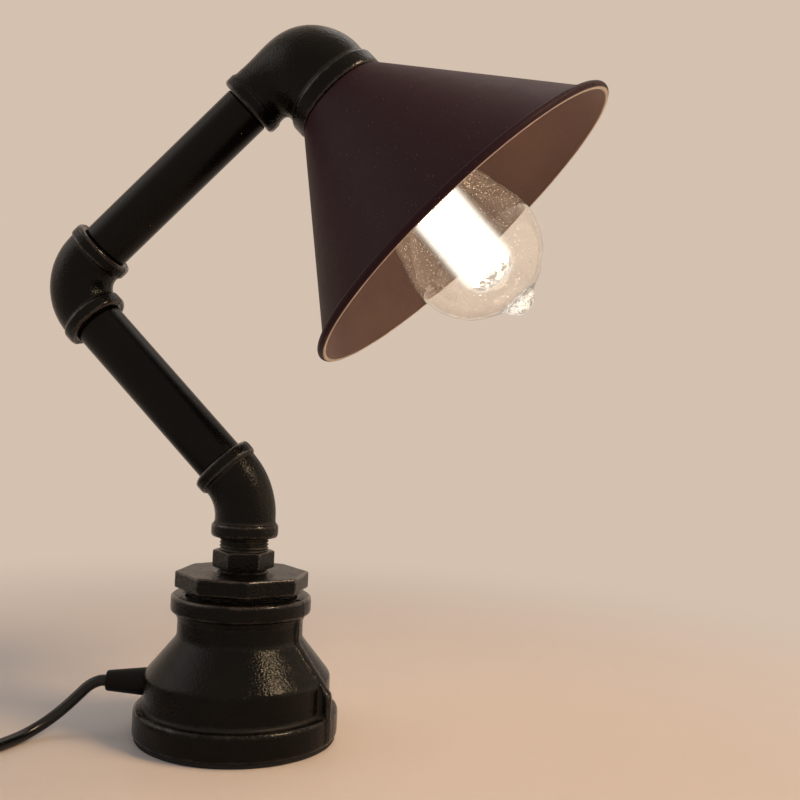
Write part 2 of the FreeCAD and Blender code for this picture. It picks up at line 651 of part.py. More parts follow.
def make_shade_ring():
    """Ring nut that clamps the shade against the head from inside."""
    bottom = HEAD_LARGE_REACH + SHADE_WALL + 0.1
    bore = HOLDER_RADIUS + THREAD_FIT
    ring = turned([
        (bore, bottom, 0), (SHADE_RING_RADIUS, bottom, 0.6), (SHADE_RING_RADIUS, bottom + 3, 0.8),
        (bore + 4.2, bottom + 4.2, 1.0), (bore + 3.4, bottom + SHADE_RING_HEIGHT, 0.8),
        (bore, bottom + SHADE_RING_HEIGHT, 0),
    ])
    notches = []
    for i in range(6):
        notch = rod(2.4, bottom + 4.4, bottom + SHADE_RING_HEIGHT + 1)
        notches.append(laid(notch, Rotation(UP, 60 * i).multVec(Vector(bore + 5.0, 0, 0)), 0))
    return aimed(ring.cut(notches), HEAD_CORNER, HEAD_AXIS)


def make_shade():
    """Spun cone with a flat clamping ring at the top and a rolled bead at the rim."""
    face = HEAD_LARGE_REACH + 0.05
    hole = HOLDER_RADIUS + THREAD_FIT
    bead_middle = SHADE_RIM_RADIUS - RIM_BEAD_RADIUS
    rim_height = SHADE_RIM_REACH - RIM_BEAD_RADIUS
    edge = bead_middle - RIM_BEAD_RADIUS * 0.6
    slope = math.atan2(edge - SHADE_TOP_RADIUS, rim_height - face)
    thick = SHADE_WALL / math.cos(slope)
    cone = turned([
        (hole, face, 0),
        (SHADE_TOP_RADIUS, face, 1.6),
        (edge, rim_height, 0),
        (edge - SHADE_WALL * math.cos(slope), rim_height + SHADE_WALL * math.sin(slope), 0),
        (SHADE_TOP_RADIUS - thick * 0.5, face + SHADE_WALL, 0.6),
        (hole, face + SHADE_WALL, 0),
    ])
    bead = Part.makeTorus(bead_middle, RIM_BEAD_RADIUS, Vector(0, 0, rim_height), UP)
    return aimed(cone.fuse(bead).removeSplitter(), HEAD_CORNER, HEAD_AXIS)


# --- bulb ------------------------------------------------------------------------
def in_glass(shape):
    """Place a piece of the glass part, which sits slightly askew in the cap."""
    seat = Vector(0, 0, BULB_CAP_BACK + BULB_CAP_LENGTH)
    skewed = shape.copy()
    skewed.Placement = Placement(Vector(0, 0, 0), skew_turn(), seat).multiply(skewed.Placement)
    return aimed(skewed, HEAD_CORNER, HEAD_AXIS)


def skew_turn():
    """Small turn that tips the glass away from the upper pipe's line."""
    across = Rotation(UP, HEAD_AXIS).inverted().multVec(UPPER_AXIS)
    return Rotation(across.cross(UP), BULB_SKEW)


def glass_body(inset, extra):
    """Turned solid inside one glass surface: collar, flare, round part and sealed tip."""
    flare = math.radians(BULB_FLARE)
    radius = BULB_RADIUS - inset
    neck = BULB_NECK_RADIUS - inset
    collar = BULB_COLLAR_RADIUS - inset
    bottom = BULB_CAP_BACK + 6 - extra
    touch = Vector(radius * math.cos(flare), 0, BULB_CENTRE - radius * math.sin(flare))
    neck_height = touch.z - (touch.x - neck) / math.tan(flare)
    tip_radius = BULB_TIP_RADIUS - inset
    tip_middle = Vector(0, 0, BULB_TIP - BULB_TIP_RADIUS)
    hollow = BULB_TIP_HOLLOW + inset
    ball_middle = Vector(0, 0, BULB_CENTRE)
    apart = tip_middle.z - BULB_CENTRE
    long_side = radius + hollow
    short_side = tip_radius + hollow
    rise = (long_side ** 2 - short_side ** 2 + apart ** 2) / (2 * apart)
    hollow_middle = Vector(math.sqrt(long_side ** 2 - rise ** 2), 0, BULB_CENTRE + rise)
    ball_end = ball_middle + unit(hollow_middle - ball_middle) * radius
    tip_start = tip_middle + unit(hollow_middle - tip_middle) * tip_radius
    ball_side = ball_middle + unit(unit(touch - ball_middle) + unit(ball_end - ball_middle)) * radius
    inner_side = hollow_middle + unit(unit(ball_end - hollow_middle) + unit(tip_start - hollow_middle)) * hollow
    tip_end = tip_middle + UP * tip_radius
    tip_side = tip_middle + unit(unit(tip_start - tip_middle) + UP) * tip_radius
    shoulder = BULB_CAP_BACK + BULB_CAP_LENGTH + 0.8 + inset * 0.5
    corners = [Vector(0, 0, bottom), Vector(collar, 0, bottom), Vector(collar, 0, shoulder),
               Vector(neck, 0, neck_height), touch]
    edges = [Part.LineSegment(a, b).toShape() for a, b in zip(corners, corners[1:])]
    edges.append(Part.Arc(touch, ball_side, ball_end).toShape())
    edges.append(Part.Arc(ball_end, inner_side, tip_start).toShape())
    edges.append(Part.Arc(tip_start, tip_side, tip_end).toShape())
    edges.append(Part.LineSegment(tip_end, corners[0]).toShape())
    return Part.Face(Part.Wire(edges)).revolve(Vector(0, 0, 0), UP, 360)


def make_bulb_glass():
    return in_glass(glass_body(0, 0).cut(glass_body(GLASS_WALL, 1)))


def make_bulb_cap():
    shell = turned([
        (BULB_CAP_RADIUS - 5.0, BULB_CAP_BACK - 0.6, 0),
        (BULB_CAP_RADIUS - 1.4, BULB_CAP_BACK, 0.8),
        (BULB_CAP_RADIUS, BULB_CAP_BACK + 2.0, 0.6),
        (BULB_CAP_RADIUS, BULB_CAP_BACK + BULB_CAP_LENGTH, 0),
        (BULB_CAP_RADIUS - 0.5, BULB_CAP_BACK + BULB_CAP_LENGTH, 0),
        (BULB_CAP_RADIUS - 0.5, BULB_CAP_BACK + 2.2, 0.4),
        (BULB_CAP_RADIUS - 1.6, BULB_CAP_BACK + 0.6, 0.4),
        (BULB_CAP_RADIUS - 5.0, BULB_CAP_BACK, 0),
    ])
    return aimed(shell, HEAD_CORNER, HEAD_AXIS)


def make_cap_insulator():
    body = turned([
        (2.4, BULB_CAP_BACK - 3.6, 0), (5.0, BULB_CAP_BACK - 3.6, 0.8), (BULB_CAP_RADIUS - 5.1, BULB_CAP_BACK - 0.6, 0),
        (BULB_CAP_RADIUS - 5.1, BULB_CAP_BACK + 1.0, 0), (2.4, BULB_CAP_BACK + 1.0, 0),
    ])
    return aimed(body, HEAD_CORNER, HEAD_AXIS)


def make_cap_contact():
    body = turned([
        (0, BULB_CAP_BACK - 4.5, 0), (2.2, BULB_CAP_BACK - 4.5, 0.8), (4.4, BULB_CAP_BACK - 3.65, 0.3),
        (2.35, BULB_CAP_BACK - 3.65, 0), (2.35, BULB_CAP_BACK - 1.5, 0), (0, BULB_CAP_BACK - 1.5, 0),
    ])
    return aimed(body, HEAD_CORNER, HEAD_AXIS)


def make_glass_stem():
    """Flared mount sealed in the neck, and the rod that carries the supports."""
    foot = BULB_CAP_BACK + 6.6
    foot_radius = BULB_COLLAR_RADIUS - GLASS_WALL - 0.1
    body = turned([
        (0, foot + 3, 0), (7.0, foot + 1.4, 1.0), (foot_radius, foot, 0), (foot_radius, foot + 0.9, 0), (6.0, foot + 5, 3.0),
        (4.6, foot + 26, 3.0), (STEM_RADIUS, foot + 31, 1.0), (STEM_RADIUS, STEM_END, 1.5), (0, STEM_END, 0),
    ])
    return in_glass(body)


def cage_point(index, height, radius):
    angle = 2 * math.pi * index / CAGE_STRANDS
    return Vector(radius * math.cos(angle), radius * math.sin(angle), height)


def strut(start, end, radius):
    return Part.makeCylinder(radius, (end - start).Length, start, end - start)


def make_filament():
    """One carbon thread that runs up and down round the cage and stays open at one place."""
    pieces = []
    for i in range(CAGE_STRANDS):
        pieces.append(strut(cage_point(i, CAGE_TOP, CAGE_RADIUS), cage_point(i, CAGE_END, CAGE_RADIUS),
                            FILAMENT_RADIUS))
        if i < CAGE_STRANDS - 1:
            height = CAGE_END if i % 2 == 0 else CAGE_TOP
            pieces.append(strut(cage_point(i, height, CAGE_RADIUS), cage_point(i + 1, height, CAGE_RADIUS),
                                FILAMENT_RADIUS))
            pieces.append(Part.makeSphere(FILAMENT_RADIUS, cage_point(i, height, CAGE_RADIUS)))
            pieces.append(Part.makeSphere(FILAMENT_RADIUS, cage_point(i + 1, height, CAGE_RADIUS)))
    return in_glass(pieces[0].fuse(pieces[1:]))


def make_support_wires():
    """Two spiders of fine wire on the rod, one hook to each bend of the thread."""
    hubs = [tube(STEM_RADIUS + 1.2, STEM_RADIUS + SNUG, height - 1.2, height + 1.2)
            for height in (CAGE_TOP + 4, CAGE_END - 4)]
    wires = []
    reach = CAGE_RADIUS - FILAMENT_RADIUS - 0.35
    for i in range(CAGE_STRANDS - 1):
        low_side = i % 2 == 1
        start_height = CAGE_TOP + 4 if low_side else CAGE_END - 4
        end_height = CAGE_TOP if low_side else CAGE_END
        start = (cage_point(i, start_height, STEM_RADIUS + 0.7) + cage_point(i + 1, start_height, STEM_RADIUS + 0.7)) * 0.5
        end = (cage_point(i, end_height, reach) + cage_point(i + 1, end_height, reach)) * 0.5
        wires.append(strut(start, end, SUPPORT_RADIUS))
    parts = []
    for hub, wanted in zip(hubs, (1, 0)):
        chosen = [wires[i] for i in range(CAGE_STRANDS - 1) if i % 2 == wanted]
        parts.append(hub.fuse(chosen))
    spiders = Part.Compound(parts)
    return in_glass(spiders)


def make_lead_in_wires():
    """Two wires from the cap up the stem to the free ends of the thread."""
    wires = []
    for index in (0, CAGE_STRANDS - 1):
        low = cage_point(index, BULB_CAP_BACK + 40, STEM_RADIUS + 1.6)
        high = cage_point(index, CAGE_TOP - 0.7, CAGE_RADIUS - 0.2)
        knee = cage_point(index, CAGE_TOP - 12, STEM_RADIUS + 3.0)
        wires.append(joined(strut(low, knee, SUPPORT_RADIUS), strut(knee, high, SUPPORT_RADIUS),
                            Part.makeSphere(SUPPORT_RADIUS, knee)))
    return in_glass(Part.Compound(wires))


# --- wiring inside the fittings ---------------------------------------------------
def make_base_flex():
    """Flex through the cord grip and on to the connector block."""
    middle = PAD_THICKNESS + 0.05 + BLOCK_HEIGHT / 2
    inside = UP * GRIP_HEIGHT + CORD_DIRECTION * FLEX_INSIDE
    drop = Vector(BLOCK_SHIFT - BLOCK_WIDTH / 2 - FLEX_BLOCK_RUN, BLOCK_PITCH, middle)
    entry = Vector(BLOCK_SHIFT - BLOCK_WIDTH / 2 - FACE_GAP, BLOCK_PITCH, middle)
    return swept([GRIP_MOUTH, inside, drop, entry], [0, *FLEX_DROP_BENDS, 0], FLEX_RADIUS)


def make_riser_flex():
    """Sleeved inner flex from the connector block up to the top of the nipple."""
    middle = PAD_THICKNESS + 0.05 + BLOCK_HEIGHT / 2
    start = Vector(BLOCK_SHIFT + BLOCK_WIDTH / 2 + FACE_GAP, 0, middle)
    out = Vector(start.x + RISER_RUN, 0, middle)
    turn = Vector(start.x + RISER_RUN, 0, RISER_BEND_HEIGHT)
    on_axis = UP * (BUSH_BOTTOM - RISER_ENTRY)
    top = UP * (LOW_ELBOW_FACE + INNER_FLEX_OVERLAP)
    return swept([start, out, turn, on_axis, top], [0, *RISER_BENDS, 0], INNER_FLEX_RADIUS)


def make_lower_flex():
    start = UP * (LOW_ELBOW_FACE + INNER_FLEX_OVERLAP + FACE_GAP)
    end = MID_CORNER - LOWER_AXIS * (MID_ELBOW_REACH - INNER_FLEX_IN)
    return bent_rod(start, LOW_CORNER, end, LOW_ELBOW_BEND, INNER_FLEX_RADIUS)


def make_upper_flex():
    start = MID_CORNER - LOWER_AXIS * (MID_ELBOW_REACH - INNER_FLEX_IN - FACE_GAP)
    end = HEAD_CORNER - UPPER_AXIS * (HEAD_SMALL_REACH - INNER_FLEX_IN)
    return bent_rod(start, MID_CORNER, end, MID_ELBOW_BEND, INNER_FLEX_RADIUS)


def make_head_flex():
    start = HEAD_CORNER - UPPER_AXIS * (HEAD_SMALL_REACH - INNER_FLEX_IN - FACE_GAP)
    end = HEAD_CORNER + HEAD_AXIS * (HOLDER_BACK + HEAD_FLEX_IN)
    return bent_rod(start, HEAD_CORNER, end, HEAD_FLEX_BEND, INNER_FLEX_RADIUS)


def make_connector_block():
    """Three-way connector strip that lies on the foot pad, barrels across X."""
    bottom = PAD_THICKNESS + 0.05
    base = Part.makeBox(BLOCK_WIDTH, BLOCK_LENGTH, 4.0, Vector(-BLOCK_WIDTH / 2, -BLOCK_LENGTH / 2, bottom))
    aside = Vector(BLOCK_SHIFT, 0, 0)
    middle = bottom + BLOCK_HEIGHT / 2
    solids = []
    bores = []
    for place in (-1, 0, 1):
        y = place * BLOCK_PITCH
        solids.append(Part.makeCylinder(BLOCK_BARREL + 1.2, BLOCK_WIDTH, Vector(-BLOCK_WIDTH / 2, y, middle),
                                        Vector(1, 0, 0)))
        bores.append(Part.makeCylinder(BLOCK_BARREL, BLOCK_WIDTH - 3, Vector(-BLOCK_WIDTH / 2 + 1.5, y, middle),
                                       Vector(1, 0, 0)))
        bores.append(Part.makeCylinder(BLOCK_WIRE_BORE + 0.6, BLOCK_WIDTH + 2, Vector(-BLOCK_WIDTH / 2 - 1, y, middle),
                                       Vector(1, 0, 0)))
        for x in (-4, 4):
            solids.append(Part.makeCylinder(3.2, BLOCK_HEIGHT / 2, Vector(x, y, middle)))
            bores.append(Part.makeCylinder(BLOCK_SCREW_RADIUS + 0.7, BLOCK_HEIGHT, Vector(x, y, middle)))
    return laid(base.fuse(solids).cut(bores).removeSplitter(), aside, 0)


def make_block_inserts():
    """Brass tubes in the connector block, one for each core."""
    middle = PAD_THICKNESS + 0.05 + BLOCK_HEIGHT / 2
    tubes = []
    for place in (-1, 0, 1):
        start = Vector(-BLOCK_WIDTH / 2 + 1.6, place * BLOCK_PITCH, middle)
        insert = Part.makeCylinder(BLOCK_BARREL - SNUG, BLOCK_WIDTH - 3.2, start, Vector(1, 0, 0))
        insert = insert.cut(Part.makeCylinder(BLOCK_WIRE_BORE, BLOCK_WIDTH, start - Vector(1, 0, 0), Vector(1, 0, 0)))
        holes = [Part.makeCylinder(BLOCK_SCREW_RADIUS, BLOCK_HEIGHT, start + Vector(BLOCK_WIDTH / 2 - 1.6 + x, 0, 0))
                 for x in (-4, 4)]
        tubes.append(laid(insert.cut(holes), Vector(BLOCK_SHIFT, 0, 0), 0))
    return Part.Compound(tubes)


def make_block_screws():
    middle = PAD_THICKNESS + 0.05 + BLOCK_HEIGHT / 2
    screws = []
    for place in (-1, 0, 1):
        for x in (-4, 4):
            screw = rod(BLOCK_SCREW_RADIUS - SNUG, middle + 0.4, middle + 5.2)
            slot = Part.makeBox(4, 0.6, 1, Vector(-2, -0.3, middle + 4.4))
            screws.append(laid(screw.cut(slot), Vector(BLOCK_SHIFT + x, place * BLOCK_PITCH, 0), 0))
    return Part.Compound(screws)


def make_earth_screw():
    """Cheese-head screw into the casting wall."""
    wall = LARGE_THREAD_RADIUS - 0.3
    screw = rod(EARTH_SCREW_RADIUS, wall - TAG_THICKNESS - 0.1, LARGE_THREAD_RADIUS + 3)
    head = rod(EARTH_HEAD_RADIUS, wall - TAG_THICKNESS - 2.8, wall - TAG_THICKNESS - 0.1)
    slot = Part.makeBox(2 * EARTH_HEAD_RADIUS + 2, 1.0, 1.3,
                        Vector(-EARTH_HEAD_RADIUS - 1, -0.5, wall - TAG_THICKNESS - 3.0))
    return on_wall(screw.fuse(head).cut(slot), EARTH_HEIGHT, EARTH_SIDE)


def make_earth_tag():
    """Ring tag under the earthing screw, with its crimped barrel."""
    wall = LARGE_THREAD_RADIUS - 0.3
    ring = tube(4.2, EARTH_SCREW_RADIUS + SNUG, wall - TAG_THICKNESS, wall)
    strip = Part.makeBox(8, 4, TAG_THICKNESS, Vector(3.4, -2, wall - TAG_THICKNESS))
    barrel = Part.makeCylinder(1.9, 6, Vector(8.0, 0, wall - TAG_THICKNESS - 1.4), Vector(1, 0, 0))
    return on_wall(ring.fuse([strip, barrel]), EARTH_HEIGHT, EARTH_SIDE)


# --- cord grip --------------------------------------------------------------------
def make_cord_grip():
    """Tapered boot outside, screwed stud through the wall."""
    stud_end = GRIP_WALL - GRIP_STUD_LENGTH
    mouth = GRIP_WALL + GRIP_LENGTH
    body = turned([
        (FLEX_RADIUS + SNUG, stud_end, 0),
        (GRIP_STUD_RADIUS, stud_end, 0.5),
        (GRIP_STUD_RADIUS, GRIP_WALL + 0.02, 0),
        (GRIP_RADIUS, GRIP_WALL + 0.02, 0),
        (GRIP_RADIUS - 0.1, GRIP_WALL + 1.6, 0.5),
        (GRIP_TIP_RADIUS, mouth, 1.0),
        (FLEX_RADIUS + SNUG, mouth, 0),
    ])
    return on_wall(body, GRIP_HEIGHT, CORD_SIDE)


def make_grip_nut():
    top = LARGE_THREAD_RADIUS - 1.2 - SNUG
    nut = prism(6, GRIP_NUT_FLATS, top - GRIP_NUT_HEIGHT, top, 30, 0.8)
    return on_wall(nut.cut(rod(GRIP_STUD_RADIUS + SNUG, 0, 60)), GRIP_HEIGHT, CORD_SIDE)


# --- rocker switch on the flex ------------------------------------------------
def switch_plan(length, width, corner, bottom, top):
    """Stadium-like plate along +X from the inlet face, edges rounded in plan."""
    corners = [Vector(0, -width / 2, bottom), Vector(length, -width / 2, bottom),
               Vector(length, width / 2, bottom), Vector(0, width / 2, bottom)]
    face = Part.Face(rounded_wire(corners, [corner] * 4, closed=True))
    return face.extrude(UP * (top - bottom))


def moved_along(shape, distance):
    moved = shape.copy()
    moved.translate(Vector(distance, 0, 0))
    return moved


def switch_inside(bottom, top):
    hollow = switch_plan(SWITCH_LENGTH - 2 * SWITCH_WALL, SWITCH_WIDTH - 2 * SWITCH_WALL,
                         SWITCH_CORNER - SWITCH_WALL, bottom, top)
    return moved_along(hollow, SWITCH_WALL)


def switch_cord_holes():
    return Part.makeCylinder(FLEX_RADIUS + SNUG, SWITCH_LENGTH + 2, Vector(-1, 0, SWITCH_AXIS_HEIGHT), Vector(1, 0, 0))


def placed_switch(shape):
    return laid(shape, Vector(SWITCH_INLET.x, SWITCH_INLET.y, 0), SWITCH_SIDE)


def make_switch_base():
    shell = switch_plan(SWITCH_LENGTH, SWITCH_WIDTH, SWITCH_CORNER, 0, SWITCH_AXIS_HEIGHT - 0.05)
    lower_edges = [edge for edge in shell.Edges if edge.BoundBox.ZMax < 0.01]
    shell = shell.makeChamfer(1.2, lower_edges)
    return placed_switch(shell.cut(switch_inside(SWITCH_WALL, SWITCH_TOP)).cut(switch_cord_holes()))


def rocker_middle():
    return Vector(SWITCH_LENGTH / 2, 0, SWITCH_TOP - 3.0)


def make_switch_cover():
    shell = switch_plan(SWITCH_LENGTH, SWITCH_WIDTH, SWITCH_CORNER, SWITCH_AXIS_HEIGHT + 0.05, SWITCH_TOP)
    upper_edges = [edge for edge in shell.Edges if edge.BoundBox.ZMin > SWITCH_TOP - 0.01]
    shell = shell.makeFillet(3.0, upper_edges)
    shell = shell.cut(switch_inside(0, SWITCH_TOP - SWITCH_WALL)).cut(switch_cord_holes())
    window = block(ROCKER_LENGTH + 2 * ROCKER_PLAY + 0.8, ROCKER_WIDTH + 2 * ROCKER_PLAY, 10,
                   Vector(SWITCH_LENGTH / 2 - ROCKER_LENGTH / 2 - ROCKER_PLAY - 0.4, 0, SWITCH_TOP - 6))
    pin_way = rocker_pin(ROCKER_WIDTH + 5.0, ROCKER_PIN_RADIUS + THREAD_FIT)
    cheeks = []
    for side in (-1, 1):
        inner_face = ROCKER_WIDTH / 2 + ROCKER_PLAY
        low = inner_face if side > 0 else -inner_face - 2.2
        cheeks.append(Part.makeBox(8, 2.2, 5.5, Vector(SWITCH_LENGTH / 2 - 4, low, SWITCH_TOP - 6.5)))
    return placed_switch(shell.fuse(cheeks).cut([window, pin_way]).removeSplitter())


def rocker_pin(length, radius):
    return Part.makeCylinder(radius, length, rocker_middle() - SIDEWAYS * (length / 2), SIDEWAYS)


def make_switch_rocker():
    """Dished rocker with its pins, tilted to the side that is switched on."""
    half = ROCKER_LENGTH / 2
    centre = rocker_middle()
    outline = [
        (-half, -1.5, 0.4), (-half, 3.6, 0.8), (0, 2.2, 22), (half, 3.6, 0.8), (half, -1.5, 0.4), (0, -4.0, 4),
    ]
    corners = [Vector(centre.x + x, -ROCKER_WIDTH / 2, centre.z + z) for x, z, _ in outline]
    face = Part.Face(rounded_wire(corners, [rounding for _, _, rounding in outline], closed=True))
    rocker = face.extrude(SIDEWAYS * ROCKER_WIDTH).fuse(rocker_pin(ROCKER_WIDTH + 4.0, ROCKER_PIN_RADIUS))
    rocker.rotate(centre, SIDEWAYS, ROCKER_THROW)
    return placed_switch(rocker)


# --- coil and plug ---------------------------------------------------------------
def make_cord_coil():
    outer = COIL_OUTER_TURN + FLEX_RADIUS
    inner = COIL_INNER_TURN - FLEX_RADIUS
    ring = turned([
        (inner, 0, 2.0), (outer, 0, 2.0), (outer, COIL_HEIGHT, 2.0), (inner, COIL_HEIGHT, 2.0),
    ])
    grooves = [flex_tube(points, FLEX_RADIUS + SNUG)[0] for points in (TAIL_POINTS, PLUG_LEAD_POINTS)]
    return laid(ring, COIL_CENTRE, 0).cut(grooves)


def placed_plug(shape):
    """Plug made along +X with its back on the table and the flex entering at X = 0."""
    return laid(shape, Vector(PLUG_POINT.x, PLUG_POINT.y, 0), PLUG_SIDE)


def make_plug_relief():
    axis_height = PLUG_POINT.z
    body = turned([
        (FLEX_RADIUS + SNUG, 0, 0), (FLEX_RADIUS + 1.3, 0, 0.4), (FLEX_RADIUS + 3.4, PLUG_RELIEF_LENGTH - 3, 0),
        (FLEX_RADIUS + 3.4, PLUG_RELIEF_LENGTH - 0.05, 0), (FLEX_RADIUS + SNUG, PLUG_RELIEF_LENGTH - 0.05, 0),
    ])
    grooves = [tube(FLEX_RADIUS + 6, FLEX_RADIUS + 0.9, 4 + 4.2 * i, 5.6 + 4.2 * i) for i in range(5)]
    body = body.cut(grooves)
    return placed_plug(aimed(body, UP * axis_height, Vector(1, 0, 0)))


def plug_outline(shrink, height):
    """Outline seen from the pins: narrow at the flex, wide and round at the far end."""
    start = PLUG_RELIEF_LENGTH + shrink
    end = PLUG_RELIEF_LENGTH + PLUG_LENGTH - shrink
    half = PLUG_WIDTH / 2 - shrink
    narrow = PLUG_WIDTH / 2 - 14 - shrink * 0.6
    corners = [Vector(start, -narrow, height), Vector(start + 17, -half, height), Vector(end, -half + 2, height),
               Vector(end, half - 2, height), Vector(start + 17, half, height), Vector(start, narrow, height)]
    return rounded_wire(corners, [4, 12, 8, 8, 12, 4], closed=True)


def make_plug_body():
    pin_face = PLUG_THICKNESS
    lower = Part.makeLoft([plug_outline(3.0, 0), plug_outline(0.8, 5.0), plug_outline(0.0, 12.0)], True, True)
    upper = Part.Face(plug_outline(0.0, 12.0)).extrude(UP * (pin_face - 12.0))
    body = lower.fuse(upper)
    entry = Part.makeCylinder(FLEX_RADIUS + SNUG, 12, Vector(PLUG_RELIEF_LENGTH - 1, 0, PLUG_POINT.z), Vector(1, 0, 0))
    fuse_well = block(FUSE_LENGTH + 3, 9.0, 12, fuse_corner() + Vector(0, 0, -0.2))
    slots = [pin_block(place, width + 2 * SNUG, -9.05, 1) for place, width, _ in pin_places()]
    return placed_plug(body.cut([entry, fuse_well] + slots).removeSplitter())


def fuse_corner():
    return Vector(PLUG_RELIEF_LENGTH + 1.8, 0, PLUG_THICKNESS - 9.0)


def pin_places():
    """Middle, width and length of each pin; the earth pin is the long one."""
    line_x = PLUG_RELIEF_LENGTH + 13.0
    return [
        (Vector(line_x, -PIN_PITCH / 2, 0), LINE_PIN_WIDTH, LINE_PIN_LENGTH),
        (Vector(line_x, PIN_PITCH / 2, 0), LINE_PIN_WIDTH, LINE_PIN_LENGTH),
        (Vector(line_x + PIN_PITCH, 0, 0), EARTH_PIN_WIDTH, EARTH_PIN_LENGTH),
    ]


def pin_block(place, width, below, above):
    """Flat pin standing on the pin face; line pins lie across, the earth pin along."""
    thick = PIN_THICKNESS + (width - LINE_PIN_WIDTH if width < EARTH_PIN_WIDTH else width - EARTH_PIN_WIDTH)
    across = width >= EARTH_PIN_WIDTH
    size_x = width if across else thick
    size_y = thick if across else width
    corner = Vector(place.x - size_x / 2, place.y - size_y / 2, PLUG_THICKNESS + below)
    return Part.makeBox(size_x, size_y, above - below, corner)


def make_plug_pins():
    pins = []
    for place, width, length in pin_places():
        pin = pin_block(place, width, -9.0, length)
        tips = [edge for edge in pin.Edges if edge.BoundBox.ZMin > PLUG_THICKNESS + length - 0.01]
        pins.append(pin.makeChamfer(1.0, tips))
    return placed_plug(Part.Compound(pins))


def make_fuse_carrier():
    """Lid over the fuse, level with the pin face."""
    corner = fuse_corner()
    lid = block(FUSE_LENGTH + 3 - 2 * SNUG, 9.0 - 2 * SNUG, 2.6, Vector(corner.x + SNUG, corner.y, PLUG_THICKNESS - 2.0))
    tops = [edge for edge in lid.Edges if edge.BoundBox.ZMin > PLUG_THICKNESS + 0.5]
    return placed_plug(lid.makeChamfer(0.5, tops))


def make_plug_fuse():
    corner = fuse_corner()
    fuse = Part.makeCylinder(FUSE_RADIUS, FUSE_LENGTH, Vector(corner.x + 1.5, corner.y, corner.z + FUSE_RADIUS),
                             Vector(1, 0, 0))
    return placed_plug(fuse)


# --- build everything ---------------------------------------------------------
def build_parts():
    down_lower = LOWER_AXIS * -1
    parts = {
        "foot_pad": make_foot_pad(),
        "base_reducer": make_base_reducer(),
        "reducing_bush": make_reducing_bush(),
        "hex_nipple": make_hex_nipple(),
        "cord_grip": make_cord_grip(),
        "grip_nut": make_grip_nut(),
        "base_flex": make_base_flex(),
        "riser_flex": make_riser_flex(),
        "connector_block": make_connector_block(),
        "block_inserts": make_block_inserts(),
        "block_screws": make_block_screws(),
        "earth_screw": make_earth_screw(),
        "earth_tag": make_earth_tag(),
        "low_elbow": elbow(LOW_CORNER, ((UP * -1, LOW_ELBOW_REACH), (LOWER_AXIS, LOW_ELBOW_TOP_REACH)),
                           LOW_ELBOW_BODY, LOW_ELBOW_BEND),
        "lower_pipe": make_pipe(LOW_CORNER, LOWER_AXIS, LOW_ELBOW_TOP_REACH, LOWER_PIPE_SHOWN, SNUG, FACE_GAP),
        "lower_flex": make_lower_flex(),
        "mid_elbow": elbow(MID_CORNER, ((down_lower, MID_ELBOW_REACH), (UPPER_AXIS, MID_ELBOW_TOP_REACH)),
                           MID_ELBOW_BODY, MID_ELBOW_BEND),
        "upper_pipe": make_pipe(MID_CORNER, UPPER_AXIS, MID_ELBOW_TOP_REACH, UPPER_PIPE_SHOWN, SNUG, FACE_GAP),
        "upper_flex": make_upper_flex(),
        "head_elbow": make_head_elbow(),
        "head_flex": make_head_flex(),
        "holder_shell": make_holder_shell(),
        "holder_insert": make_holder_insert(),
        "thread_sleeve": make_thread_sleeve(),
        "contact_spring": make_contact_spring(),
        "shade_ring": make_shade_ring(),
        "shade": make_shade(),
        "bulb_glass": make_bulb_glass(),
        "bulb_cap": make_bulb_cap(),
        "cap_insulator": make_cap_insulator(),
        "cap_contact": make_cap_contact(),
        "glass_stem": make_glass_stem(),
        "filament": make_filament(),
        "support_wires": make_support_wires(),
        "lead_in_wires": make_lead_in_wires(),
        "switch_base": make_switch_base(),
        "switch_cover": make_switch_cover(),
        "switch_rocker": make_switch_rocker(),
        "cord_coil": make_cord_coil(),
        "plug_relief": make_plug_relief(),
        "plug_body": make_plug_body(),
        "plug_pins": make_plug_pins(),
        "fuse_carrier": make_fuse_carrier(),
        "plug_fuse": make_plug_fuse(),
    }
    for name, points in (("cord_lead", LEAD_POINTS), ("cord_tail", TAIL_POINTS), ("cord_plug_lead", PLUG_LEAD_POINTS)):
        parts[name], radii, length = flex_tube(points)
        expected = math.pi * FLEX_RADIUS ** 2 * length
        print(name, "bend radii", [round(r, 1) for r in radii[1:-1]], "length", round(length, 1),
              "volume ratio", round(parts[name].Volume / expected, 4))
    return parts


def main():
    os.makedirs("parts", exist_ok=True)
    for name, shape in build_parts().items():
        shape.exportStep(os.path.join("parts", name + ".step"))
        print(name, "valid" if shape.isValid() else "NOT VALID", len(shape.Solids), round(shape.Volume, 1))


main()
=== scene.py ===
"""Looks of a table lamp made of iron pipe fittings, laid out as an add-on.

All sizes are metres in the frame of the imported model: the lamp stands on the
XY plane, Z is up, and at rest both pipe arms lie in the XZ plane.
"""

import json
import math

import bmesh
import bpy
import numpy as np
from bpy.props import FloatProperty, FloatVectorProperty, IntProperty, PointerProperty
from mathutils import Matrix, Vector, noise


